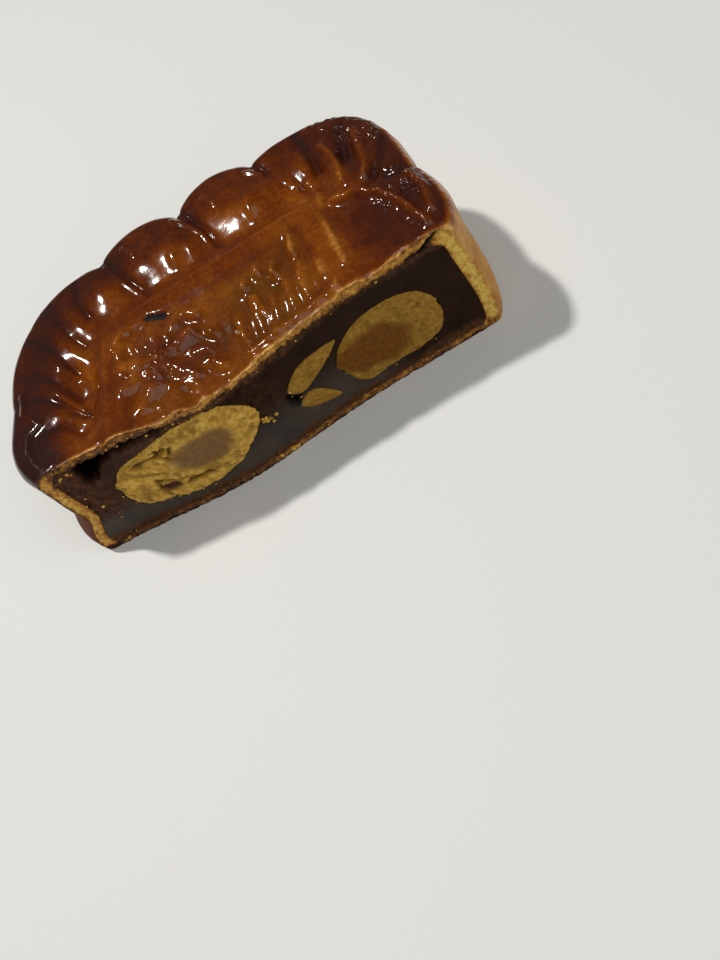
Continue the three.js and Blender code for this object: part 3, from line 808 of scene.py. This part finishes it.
def top_bake_and_painted_light(x, y, masks):
    """How dark the glazed top is, from 0, pale, to 1: its baking and glaze, with painted shade added in the
    creases and a painted highlight on the ridges and strokes.
    """
    left = smooth(10, -30, x)
    right = smooth(20, 30, x)
    spots = xyz(x, y, 0)
    bake = 0.58 + 0.17 * masks["rim"] + 0.10 * masks["shoulder"] + 0.10 * left * masks["rim"] + 0.08 * right
    bake = bake - 0.15 * masks["amber"] - 0.22 * masks["motif"] - 0.06 * masks["band"] * smooth(0, 10, x)
    # Ridges are painted paler, partly a thinner glaze and partly a painted highlight; creases are painted
    # darker, partly pooled glaze and partly painted shade.
    bake = bake - mix(0.08, 0.2, smooth(16, 20, x)) * masks["ridge"] + 0.16 * masks["crease"]
    # Strokes are painted paler, partly a paler glaze and partly a painted highlight.
    bake = bake - 0.06 * masks["band edge"] - mix(0.04, 0.12, smooth(-2, 4, x)) * masks["stroke"]
    bake = bake + mix(-0.07, 0.05, smooth(-2, 6, x)) * masks["ground"]
    bake = bake + masks["purple"] * (0.24 + 0.18 * uneven(spots, 2.6, 63, 2))
    bake = bake + 0.2 * smooth(-27, -33, x) * (1 - smooth(6, 14, y))
    right_edge = smooth(0.2, 0.7, masks["shoulder"]) * smooth(29, 34, x) * (1 - smooth(24, 31, y))
    return bake - 0.62 * right_edge + 0.07 * uneven(spots, 7, 61, 3)


def top_glaze(away, masks):
    """The glaze shines, but less along the cut and in the large leaf, and not in the slit."""
    shine = (1 - 0.5 * bell(away / 0.8)) * (1 - 0.1 * masks["large leaf"])
    return shine * (1 - smooth(0, 0.2, masks["slit"]))


def wall_bake(spots):
    """The wall is golden, and browner towards its rim and on the left."""
    z = spots[:, 2]
    left = smooth(0, -25, spots[:, 0])
    rim = smooth(21, 25, z) * (1 - smooth(29, 34, spots[:, 0]))
    return mix(0.10, 0.55, rim) + 0.52 * left + 0.06 * uneven(spots, 5, 62, 2)


def wall_glaze(spots):
    """Glaze has run down the upper wall, but hardly at the right end of the cut."""
    return 0.8 * smooth(15, 23, spots[:, 2]) * mix(1, 0.35, smooth(29, 34, spots[:, 0]))


def cut_bake(x, z, share):
    """The cut pastry is pale, darker against its outer skin and browned through at the base."""
    base = 1 - smooth(0.6, 2.2, z)
    top = smooth(19, 21, z) * (1 - smooth(33, 36, np.abs(x)))
    left = smooth(-33, -36, x)
    sunk = top * smooth(-8, -18, x)
    inner = 0.28 * smooth(0.6, 1, share) + 0.07 * top * smooth(0.3, 0.7, share)
    inner = inner + 0.25 * top * smooth(0.4, 0.8, share) * bell((x + 5) / 9)
    bake = 0.08 + 0.20 * top + 0.20 * sunk + 0.10 * left + mix(0.56, 0.40, smooth(-14, 0, x)) * base
    return bake + 0.5 * bell(share / 0.12) + inner - 0.06 * smooth(31, 35, x)


# Filling ----
def smooth_loop(points, parts):
    """A closed smooth curve through a few points, sampled evenly."""
    points = np.asarray(points, float)
    n = len(points)
    t = np.linspace(0, n, 40 * n, endpoint=False)
    i = np.floor(t).astype(int)
    f = (t - i)[:, None]
    a, b, c, d = (points[(i + k) % n] for k in (-1, 0, 1, 2))
    curve = b + 0.5 * f * (c - a + f * (2 * a - 5 * b + 4 * c - d + f * (3 * (b - c) + d - a)))
    return resample(np.concatenate([curve, curve[:1]]), parts)[:-1]


# Outlines of the yolk in the cut, as (x, z), how deep each reaches, how finely it is divided across
# and down, and its darker core: middle, half width, half height and slant.
YOLKS = {
    "yolk_left": {
        "outline": (
            (-28.5, 10.5), (-27.5, 15), (-25, 17.8), (-21, 19), (-16.5, 20.2), (-12.5, 20.6), (-8.5, 20),
            (-5, 18.4), (-2.5, 14.5), (-3, 12), (-5, 9), (-8, 6.5), (-12, 4.7), (-17, 3.8), (-22, 5),
            (-27, 6.5),
        ),
        "deep": 9.5,
        "parts": (96, 60),
        "core": ((-12.7, 13), 6, 3.9, 0),
    },
    "yolk_right": {
        "outline": (
            (12, 11.5), (13.5, 14.5), (16.5, 17), (20, 18.3), (25, 18), (28.5, 16), (30.5, 12.5),
            (30.5, 8.5), (29, 5.5), (25, 4.5), (19, 4.3), (15, 4.3), (13, 7.5),
        ),
        "deep": 9,
        "parts": (96, 60),
        "core": ((18.6, 10.6), 7.2, 4.6, -0.08),
    },
    "yolk_sliver": {
        "outline": (
            (3.3, 13), (5.5, 15.5), (8.5, 16.8), (13.5, 17), (13.5, 16), (10.5, 13.5), (7.5, 11.7),
            (5.6, 10.9), (4.2, 11.3),
        ),
        "deep": 3.2,
        "parts": (48, 24),
    },
    "yolk_chip": {
        "outline": ((3.7, 8.2), (5.2, 9.9), (7, 9.8), (8.5, 8.4), (10.3, 5.2), (7.7, 5.3), (5, 6.6)),
        "deep": 2.6,
        "parts": (48, 24),
    },
}


def four_sides(loop, parts_along, parts_across):
    """Splits a closed loop of 2 (along + across) points into the edges of a grid."""
    a, c = parts_along, parts_across
    closed = np.concatenate([loop, loop[:1]])
    near = closed[:a + 1]
    last = closed[a:a + c + 1]
    far = closed[a + c:2 * a + c + 1][::-1]
    first = closed[2 * a + c:][::-1]
    return near, far, first, last


def rim_of(grid):
    """What lies round the edge of a grid, in the order of four_sides."""
    return np.concatenate([grid[:-1, 0], grid[-1, :-1], grid[:0:-1, -1], grid[0, :0:-1]])


def inside_loop(x, z, loop):
    """Signed distance in millimetres from a closed loop, positive inside."""
    closed = np.concatenate([loop, loop[:1]])
    inside = np.zeros(x.shape, bool)
    for (ax, az), (bx, bz) in zip(closed, closed[1:]):
        at = ax + (z - az) * (bx - ax) / ((bz - az) or 1e-9)
        inside ^= ((az > z) != (bz > z)) & (x < at)
    away = to_lines(x, z, [closed])
    return np.where(inside, away, -away)


def core_share(name, x, z):
    """How far a place in the cut lies in the yolk's darker core, from 0 to 1."""
    if "core" not in YOLKS[name]:
        return np.zeros(np.shape(x))
    (core_x, core_z), wide, tall, slant = YOLKS[name]["core"]
    across, up = x - core_x, z - core_z - slant * (x - core_x)
    wavy = 0.12 * uneven(xyz(x, 0, z), 3, 70, 2)
    return 1 - smooth(0.72, 1.15, np.hypot(across / wide, up / tall) + wavy)


# Cracks in the left yolk, as (x, z) along each and its half width, and the paste that shows in it.
CRACKS = (
    (((-23.4, 16.4), (-22.3, 16.5), (-20.9, 17.1), (-19, 16.8), (-17.6, 17.9)), 0.55),
    (((-18.7, 18.2), (-18.9, 16.6), (-18.1, 15.3)), 0.4),
    (((-16.5, 17.6), (-17.4, 15.9)), 0.3),
    (((-23.6, 13.7), (-21.8, 12.9), (-20.6, 12.4)), 0.3),
    (((-22.4, 11.6), (-22.5, 10.5), (-23.4, 8.3), (-22.9, 6.6)), 0.4),
    (((-22.5, 10.3), (-21, 9.9), (-19.6, 8.9), (-18.2, 9.1)), 0.3),
    (((-18.6, 7.3), (-17, 7.8), (-16, 7.5), (-14.9, 6.8)), 0.6),
)
CRACK_PASTE = ((-22.2, 8.6), (-20.6, 7.9))
CRACK_PASTE_HALF_WIDTH = 1.1
CRACK_DEPTH = 1.3
CRACK_PASTE_DEPTH = 0.6
YOLK_PIT_DEPTH = 0.3
YOLK_PROUD = 0.12  # how far a yolk stands out of the cut
YOLK_FRONT = 0.4  # how far behind the cut it starts to round off
YOLK_TURNS = (12, 30, 48, 66, 80)  # and the turns, in degrees, at which its rings narrow


def yolk_outline(name):
    """The ragged outline of a yolk in the cut."""
    loop = smooth_loop(YOLKS[name]["outline"], 2 * sum(YOLKS[name]["parts"]))
    middle = loop.mean(axis=0)
    spots = xyz(loop[:, 0], 0, loop[:, 1])
    ragged = 1 + (0.03 * uneven(spots, 1.6, 71, 2) + 0.012 * uneven(spots, 0.5, 72))
    return middle + (loop - middle) * ragged[:, None]


def cracked(x, z):
    """Where the left yolk has cracked, and where paste shows in it."""
    shaky = 0.5 * uneven(xyz(x, 0, z), 1.1, 73, 2)
    cracks = np.zeros(x.shape)
    for line, half_width in CRACKS:
        cracks = np.maximum(cracks, 1 - smooth(0.3, 1.2, to_lines(x, z, (line,)) / half_width + shaky))
    from_paste = to_segment(x, z, *CRACK_PASTE)[0] / CRACK_PASTE_HALF_WIDTH
    return cracks, 1 - smooth(0.6, 1.1, from_paste + 0.4 * shaky)


def yolk_body(name):
    """A yolk or a fragment of one: crumbly in the cut, where the left one is cracked, and round
    behind it."""
    body = Body("core", "pit", "rim", "brown", "paste")
    loop = yolk_outline(name)
    grid = stretched(*four_sides(loop, *YOLKS[name]["parts"]))
    x, z = grid[..., 0], grid[..., 1]
    margin = inside_loop(x, z, loop)
    core = core_share(name, x, z)
    spots = xyz(x, 0, z)
    crumbly = (1 - core) * smooth(0.0, 0.6, margin)
    if name == "yolk_left":
        brown = 0.0
        cracks, paste = cracked(x, z)
    else:
        brown = 1.0
        cracks = paste = np.zeros(x.shape)
        crumbly = 0.5 * crumbly
    pits = smooth(0.1, 0.6, uneven(spots, 1.2, 75, 2)) * crumbly
    relief = CRACK_DEPTH * cracks + CRACK_PASTE_DEPTH * paste + YOLK_PIT_DEPTH * pits
    relief = relief + crumbly * (0.22 * (grains(spots, 0.6, 76) - 0.5) + 0.25 * uneven(spots, 3, 77, 2))
    relief = relief + 0.05 * uneven(spots, 0.8, 78) + 0.35 * bell(np.maximum(margin, 0) / 0.35)
    front = body.grid(
        xyz(x, cut_at(x) - YOLK_PROUD + relief, z),
        core=core,
        # Cracks and pits are painted darker as painted shade.
        pit=clamp(1.3 * cracks + 0.5 * pits),
        rim=bell(np.maximum(margin, 0) / 0.9),
        brown=brown,
        paste=paste,
    )
    numbers, edge = rim_of(front), rim_of(grid)
    middle = edge.mean(axis=0)
    for turn in np.radians(YOLK_TURNS):
        x, z = (middle + (edge - middle) * math.cos(turn)).T
        y = cut_at(x) + YOLK_FRONT + YOLKS[name]["deep"] * math.sin(turn)
        numbers = body.ring(numbers, xyz(x, y, z), rim=1.0, brown=brown)
    x, z = middle
    body.cap(numbers, xyz(x, cut_at(x) + YOLK_FRONT + YOLKS[name]["deep"], z), rim=1.0)
    return body


# The hollow that has opened between the paste and the top crust, and the hole beside the sliver.
HOLLOW = ((-31, 18.5), (-30.5, 22), (-28, 24), (-22, 24.5), (-14.7, 23), (-15, 21.3), (-18.6, 21.2),
          (-22.5, 21.4), (-25.5, 21.2), (-27, 19.8), (-28.6, 18.2), (-30.7, 16.8))
HOLLOW_DEPTH = 2.2
HOLLOW_DEPTH_LEFT = 5.5
HOLE = ((2.6, 12.4), (4.2, 10.6), (4.9, 10.4), (3.9, 9), (3.1, 8.4), (2.4, 10))
HOLE_DEPTH = 2.5
POCKET_ROOM = 0.2  # between a yolk's rounded back and the bottom of its pocket
LEAST_POCKET = 3.0
PASTE_BACK = 0.18  # how far the paste lies behind the cut
PASTE_INSET = 0.05  # and inside the crust


def pocket_depth(x, z):
    """How deep the pockets for the yolks are: as deep as the yolks' round backs."""
    depth = 0
    for shape in YOLKS.values():
        margin = inside_loop(x, z, smooth_loop(shape["outline"], OUTLINE_PARTS))
        from_middle = 1 - clamp(margin / margin.max())
        round_back = YOLK_FRONT + POCKET_ROOM + shape["deep"] * np.sqrt(1 - from_middle**2)
        depth = np.maximum(depth, np.maximum(LEAST_POCKET, round_back) * smooth(0.0, 0.5, margin))
    return depth


def paste_body():
    """The filling: smooth where the knife passed and crumbly elsewhere, with pockets for the yolks."""
    body = Body("crumbly", "pit", "red", "grey", "browned")
    top, left, base, right = section(PASTE_INSET, PASTE_ACROSS, PASTE_DOWN)
    grid = stretched(base, top[::-1], left[::-1], right)
    x, z = grid[..., 0], grid[..., 1]
    spots = xyz(x, 0, z)
    above_roof = z - (ROOF - sag_at(x, 0))
    left_zone = smooth(-26, -31, x) * smooth(7, 10, z)
    middle_zone = bell(x / 4.5) * smooth(9.5, 12, z)
    under_top = smooth(-2.5, -0.5, above_roof) * smooth(12, 4, x)
    crumbly = clamp(left_zone + middle_zone + 0.8 * under_top)
    lumpy = 0.5 * smooth(0, 0.6, uneven(spots, 1.6, 82, 2)) + 0.3 * (grains(spots, 0.8, 83) - 0.4)
    relief = PASTE_BACK + 0.04 * uneven(spots, 6, 81, 2)
    relief = relief + 0.10 * bell((z - 3) / 1.5) * uneven(spots, 1.4, 87, 2) + crumbly * lumpy

    hollow = inside_loop(x, z, smooth_loop(HOLLOW, OUTLINE_PARTS)) + 0.3 * uneven(spots, 1.2, 84, 2)
    deep = mix(HOLLOW_DEPTH, HOLLOW_DEPTH_LEFT, smooth(-22, -27, x)) * smooth(-0.3, 0.8, hollow)
    hole = inside_loop(x, z, smooth_loop(HOLE, HOLE_PARTS)) + 0.15 * uneven(spots, 0.8, 85)
    hole = smooth(-0.1, 0.4, hole)
    relief = relief + np.maximum(deep, pocket_depth(x, z)) + HOLE_DEPTH * hole

    fringe = smooth(-1.5, -0.5, above_roof + 0.6 * uneven(spots, 1.6, 88, 2))
    fringe = fringe * mix(1, 0.5, smooth(4, 14, x))
    browned = 1 - smooth(0.3, 2.4, z - BASE_CRUST + 0.6 * uneven(spots, 3, 86, 3))
    above_yolk = bell((x + 18) / 6.5) * smooth(15, 18, z)
    front = body.grid(
        xyz(x, cut_at(x) + relief, z),
        crumbly=clamp(crumbly + browned),
        # The hollow and the hole are painted near black as painted shade.
        pit=clamp(deep / 1.8 + hole),
        # A painted reflection of the floor: the paste is painted greyer low in the cut.
        grey=(1 - smooth(6, 15, z)) * (1 - smooth(14, 26, x)),
        red=clamp(left_zone + 0.2 * middle_zone + above_yolk),
        browned=clamp(browned + fringe),
    )
    line_back(body, rim_of(front), rim_of(grid), PASTE_INSET)
    return body


# Crumbs ----
# Where crumbs lie in the cut, as lines of (x, z), how many lie along each, how far they stray to
# either side, and their largest half size.
CRUST_CRUMBS = (
    (((-35, 20.6), (-30, 23.6), (-24, 23.6)), 12, 0.5, 0.34),
    (((-24, 23.4), (-20, 23.4), (-16, 22.2), (-12, 21)), 9, 0.4, 0.32),
    (((-12, 21), (0, 21), (8, 21.6), (20, 22.4), (30, 22.8)), 6, 0.3, 0.2),
    (((-35.6, 19), (-33, 12), (-32, 6)), 7, 0.4, 0.3),
    (((-1.8, 0.6), (-0.1, 0.6)), 12, 0.35, 0.5),
    (((-4.4, 0.8), (-3.2, 0.8)), 5, 0.25, 0.38),
    (((-36, 0.6), (-34, 0.6)), 5, 0.35, 0.4),
    (((-33, 1.2), (-10, 1.4), (10, 1.3), (36, 1.2)), 12, 0.3, 0.2),
)
YOLK_CRUMBS = (
    (((-2.8, 11.5), (-1.8, 10.6), (-0.8, 9.8)), 12, 0.35, 0.42),
    (((-29, 11), (-27.4, 6.4), (-22, 4.4), (-16, 3.6)), 8, 0.4, 0.28),
    (((-27, 16), (-22, 19), (-14, 20.8)), 6, 0.3, 0.28),
    (((3.4, 12.6), (4.8, 10.8), (4.6, 9.2)), 4, 0.3, 0.24),
    (((12.4, 8), (14, 4.8), (20, 4), (28, 4.6)), 5, 0.3, 0.22),
)


LEAST_HEIGHT = 0.02  # no part of a crumb is nearer to the floor


def lumps(lines, seed):
    """Small irregular lumps that lie half sunk along lines in the cut."""
    body = Body("bake", "cut", "rim")
    ball = bmesh.new()
    bmesh.ops.create_icosphere(ball, subdivisions=2, radius=1)
    shape = np.array([v.co[:] for v in ball.verts])
    faces = np.array([[v.index for v in f.verts] for f in ball.faces])
    ball.free()
    chance = np.random.default_rng(seed)
    for line, many, stray, largest in lines:
        for x, z in resample(line, many)[chance.permutation(many + 1)[:many]]:
            x, z = x + chance.normal(0, stray), z + chance.normal(0, stray)
            size = largest * chance.uniform(0.35, 1) * np.array([1, 0.7, 0.8]) * chance.uniform(0.7, 1.3, 3)
            knobbly = 1 + 0.5 * uneven(shape * 1.2 + chance.uniform(0, 99, 3), 1, 92, 2)
            middle = np.array([x, cut_at(x) + 0.1, max(z, size[2] * 0.8)])
            lump = middle + shape * knobbly[:, None] * size
            lump[:, 2] = np.maximum(lump[:, 2], LEAST_HEIGHT)
            numbers = body.add(lump, bake=0.45 * chance.random(), cut=1.0, rim=0.6)
            body.face(numbers[faces])
    return body


# Materials ----
class Paint:
    """Short calls for building one material from nodes. A value is a number, a colour, a socket or
    the name of a value on the vertices."""

    def __init__(self, name):
        self.material = bpy.data.materials.new(name)
        self.material.use_nodes = True
        self.tree = self.material.node_tree
        self.shader = self.tree.nodes["Principled BSDF"]
        self.place = self.node("ShaderNodeTexCoord").outputs["Object"]

    def node(self, kind, inputs=(), **settings):
        made = self.tree.nodes.new(kind)
        for key, value in settings.items():
            setattr(made, key, value)
        for key, value in dict(inputs).items():
            self.put(made.inputs[key], value)
        return made

    def put(self, socket, value):
        if isinstance(value, str):
            value = self.node("ShaderNodeAttribute", attribute_name=value).outputs["Fac"]
        if isinstance(value, bpy.types.NodeSocket):
            self.tree.links.new(value, socket)
        else:
            socket.default_value = (*value, 1) if isinstance(value, tuple) else value

    def noise(self, size, detail=3.0, low=0.0, high=1.0):
        """Noise from low to high whose bumps are about size millimetres across."""
        inputs = {"Vector": self.place, "Scale": 1 / (size * MM), "Detail": detail}
        noise = self.node("ShaderNodeTexNoise", inputs).outputs["Fac"]
        if (low, high) == (0, 1):
            return noise
        return self.node("ShaderNodeMapRange", {"Value": noise, "To Min": low, "To Max": high}).outputs[0]

    def math(self, operation, a, b, limit=False):
        return self.node("ShaderNodeMath", {0: a, 1: b}, operation=operation, use_clamp=limit).outputs[0]

    def plus(self, a, b):
        return self.math("ADD", a, b)

    def times(self, a, b, limit=False):
        return self.math("MULTIPLY", a, b, limit)

    def ramp(self, value, *stops):
        made = self.node("ShaderNodeValToRGB", {"Fac": value})
        band = made.color_ramp.elements
        while len(band) < len(stops):
            band.new(0.5)
        for element, (at, colour) in zip(band, stops):
            element.position = at
            element.color = (*colour, 1)
        return made.outputs["Color"]

    def blend(self, share, low, high):
        made = self.node("ShaderNodeMix", {0: share, 6: low, 7: high}, data_type="RGBA")
        return made.outputs[2]

    def bump(self, height, millimetres, before=None):
        inputs = {"Height": height, "Distance": millimetres * MM}
        if before is not None:
            inputs["Normal"] = before
        return self.node("ShaderNodeBump", inputs).outputs["Normal"]

    def finish(self, colour, roughness, **more):
        """Connects the shader. What more names is an input of it, with _ for each space."""
        for key, value in {"Base_Color": colour, "Roughness": roughness, **more}.items():
            self.put(self.shader.inputs[key.replace("_", " ")], value)
        return self.material


def crust_material():
    """Pastry that runs from pale to dark brown with its baking, under a glaze or crumbly where cut. The
    values it is painted by also carry painted shade in the creases and a painted highlight on the ridges and
    strokes of the top, and the slit and the split are painted near black as painted shade.
    """
    paint = Paint("crust")
    mottle = paint.plus(paint.noise(2.4, 4, -0.16, 0.16), paint.noise(0.7, 2, -0.15, 0.15))
    speckle = paint.times("cut", paint.noise(0.7, 3, -0.35, 0.35))
    baked_and_painted_light = paint.plus(paint.plus("bake", mottle), speckle)
    glazed = paint.ramp(
        baked_and_painted_light, (0.0, (0.60, 0.32, 0.08)), (0.22, (0.38, 0.145, 0.024)), (0.40, (0.21, 0.054, 0.002)),
        (0.60, (0.118, 0.0225, 0.0012)), (0.80, (0.056, 0.0100, 0.0025)), (1.0, (0.028, 0.008, 0.006)),
    )
    crumb = paint.ramp(
        baked_and_painted_light, (0.0, (0.74, 0.50, 0.10)), (0.3, (0.50, 0.215, 0.027)), (0.55, (0.17, 0.06, 0.010)),
        (0.85, (0.04, 0.015, 0.006)),
    )
    olive = paint.times(paint.times("olive", paint.noise(9, 2, -0.2, 1.0), limit=True), 0.30)
    colour = paint.blend("cut", glazed, crumb)
    colour = paint.blend(olive, colour, (0.15, 0.10, 0.008))
    colour = paint.blend(paint.times("purple", 0.75), colour, (0.13, 0.030, 0.014))
    # Painted shade: the slit and the split are painted near black.
    colour = paint.blend("dark", colour, (0.004, 0.002, 0.002))
    dry = paint.times(paint.math("SUBTRACT", 1.0, "glaze"), 0.75)
    roughness = paint.math("MAXIMUM", paint.noise(1.6, 3, 0.07, 0.19), dry)
    normal = paint.bump(paint.times(paint.noise(0.8, 1), "bubbly"), 0.4)
    normal = paint.bump(paint.noise(0.9, 2), 0.022, normal)
    normal = paint.bump(paint.times(paint.noise(0.35), "cut"), 0.25, normal)
    return paint.finish(colour, roughness, Normal=normal, Specular_IOR_Level=0.32)


def yolk_material():
    """Grainy yolk, yellow or browner outside, with a grey or brown core."""
    paint = Paint("yolk")
    fine = paint.noise(0.8, 4)
    yellow = paint.ramp(
        fine, (0.25, (0.38, 0.18, 0.022)), (0.5, (0.56, 0.32, 0.05)), (0.72, (0.68, 0.46, 0.11))
    )
    brown = paint.ramp(fine, (0.3, (0.23, 0.105, 0.011)), (0.7, (0.38, 0.215, 0.032)))
    grey_core = paint.ramp(fine, (0.3, (0.17, 0.086, 0.028)), (0.7, (0.24, 0.125, 0.042)))
    brown_core = paint.ramp(fine, (0.3, (0.12, 0.040, 0.003)), (0.7, (0.18, 0.066, 0.005)))
    outer = paint.blend("brown", yellow, brown)
    colour = paint.blend("core", outer, paint.blend("brown", grey_core, brown_core))
    # Painted shade in the cracks and pits.
    colour = paint.blend(paint.times("pit", 0.85, limit=True), colour, (0.07, 0.022, 0.004))
    colour = paint.blend("paste", colour, (0.075, 0.022, 0.012))
    normal = paint.bump(paint.noise(0.35), 0.14)
    return paint.finish(colour, 0.6, Normal=normal, Specular_IOR_Level=0.08)


def paste_material():
    """Dark paste, with a painted grey reflection of the floor low in the cut and painted shade in its hollow
    and hole, reddish at the left and browned against the crust.
    """
    paint = Paint("paste")
    grain = paint.noise(4)
    dark = paint.ramp(grain, (0.3, (0.016, 0.0062, 0.003)), (0.7, (0.027, 0.011, 0.005)))
    # Colour of the painted reflection of the floor.
    grey = paint.ramp(grain, (0.3, (0.046, 0.037, 0.031)), (0.7, (0.076, 0.054, 0.041)))
    red = paint.ramp(
        paint.noise(1.0, 4), (0.3, (0.036, 0.016, 0.010)), (0.6, (0.090, 0.037, 0.019)),
        (0.8, (0.16, 0.07, 0.028)),
    )
    browned = paint.ramp(
        paint.noise(0.8, 4), (0.3, (0.045, 0.018, 0.008)), (0.6, (0.10, 0.044, 0.017)),
        (0.8, (0.19, 0.09, 0.03)),
    )
    colour = paint.blend("red", paint.blend("grey", dark, grey), red)
    # Painted shade: the hollow and the hole are painted near black.
    colour = paint.blend("pit", paint.blend("browned", colour, browned), (0.003, 0.002, 0.002))
    roughness = paint.plus(0.42, paint.times("crumbly", 0.3))
    return paint.finish(colour, roughness, Normal=paint.bump(paint.noise(0.5), 0.05), Specular_IOR_Level=0.04)


# Stage ----
# The camera's place and aim, in millimetres about the middle of the whole cake, and its roll in
# degrees.
CAMERA_AT = (19.4, -86.6, 111.3)
CAMERA_AIM = (5.8, -13.5, 0)
CAMERA_ROLL = -38.9
LENS = 31.06
SENSOR = 36.0
# Square lamps: place and side in metres, power in watts, and colour.
LAMPS = {
    "key": ((-0.30, 0.24, 0.76), 0.05, 5.2, (1, 0.98, 0.94)),
    "fill": ((0.30, -0.45, 0.62), 1.0, 3.9, (0.96, 0.98, 1.0)),
}
LAMP_AIM = (0, 0, 0.012)
WORLD_COLOUR = (1.0, 0.96, 0.88, 1)
WORLD_STRENGTH = 0.10
FLOOR_REACH = 3.0  # metres from the middle to the floor's sides


def aimed(at, aim):
    """A turn that makes a camera or a lamp at one place look at another."""
    return (Vector(aim) - Vector(at)).to_track_quat("-Z", "Y").to_matrix().to_4x4()


def place_camera(shift):
    data = bpy.data.cameras.new("camera")
    data.sensor_fit = "VERTICAL"
    data.sensor_height = SENSOR
    data.lens = LENS
    data.clip_start = 0.001
    camera = placed("camera", data)
    at = (Vector(CAMERA_AT) + Vector(shift)) * MM
    aim = (Vector(CAMERA_AIM) + Vector(shift)) * MM
    roll = Matrix.Rotation(math.radians(CAMERA_ROLL), 4, "Z")
    camera.matrix_world = Matrix.Translation(at) @ aimed(at, aim) @ roll
    bpy.context.scene.camera = camera


def light_stage():
    world = bpy.data.worlds.new("studio")
    world.use_nodes = True
    backdrop = world.node_tree.nodes["Background"]
    backdrop.inputs["Color"].default_value = WORLD_COLOUR
    backdrop.inputs["Strength"].default_value = WORLD_STRENGTH
    bpy.context.scene.world = world
    bpy.context.scene.view_settings.view_transform = "Standard"
    for name, (at, side, power, colour) in LAMPS.items():
        data = bpy.data.lights.new(name, "AREA")
        data.size = side
        data.energy = power
        data.color = colour
        placed(name, data).matrix_world = Matrix.Translation(at) @ aimed(at, LAMP_AIM)


def lay_floor():
    mesh = bpy.data.meshes.new("floor")
    corners = [(x * FLOOR_REACH, y * FLOOR_REACH, 0) for x, y in ((-1, -1), (1, -1), (1, 1), (-1, 1))]
    mesh.from_pydata(corners, [], [(0, 1, 2, 3)])
    mesh.materials.append(Paint("floor").finish((0.72, 0.72, 0.70), 0.7))
    made = placed("floor", mesh)


# Assembly ----
crust = crust_body()
low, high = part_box("crust")
points = np.concatenate(crust.points)
own = (points.min(axis=0) + points.max(axis=0)) / 2
wanted = (np.array(low) + np.array(high)) / 2 / MM
shift = np.array([wanted[0] - own[0], wanted[1] - own[1], 0.0])

yolk_finish = yolk_material()
pieces = {"crust": crust.piece("crust_dressed", crust_material(), shift)}
pieces["paste"] = paste_body().piece("paste_dressed", paste_material(), shift)
for name in YOLKS:
    pieces[name] = yolk_body(name).piece(name + "_dressed", yolk_finish, shift)
for node, piece in pieces.items():
    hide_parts(node)

for name, lines, seed, finish in (
    ("crust_crumbs", CRUST_CRUMBS, 12, pieces["crust"].data.materials[0]),
    ("yolk_crumbs", YOLK_CRUMBS, 11, yolk_finish),
):
    scattered = lumps(lines, seed).piece(name, finish, shift)

lay_floor()
light_stage()
place_camera(shift)
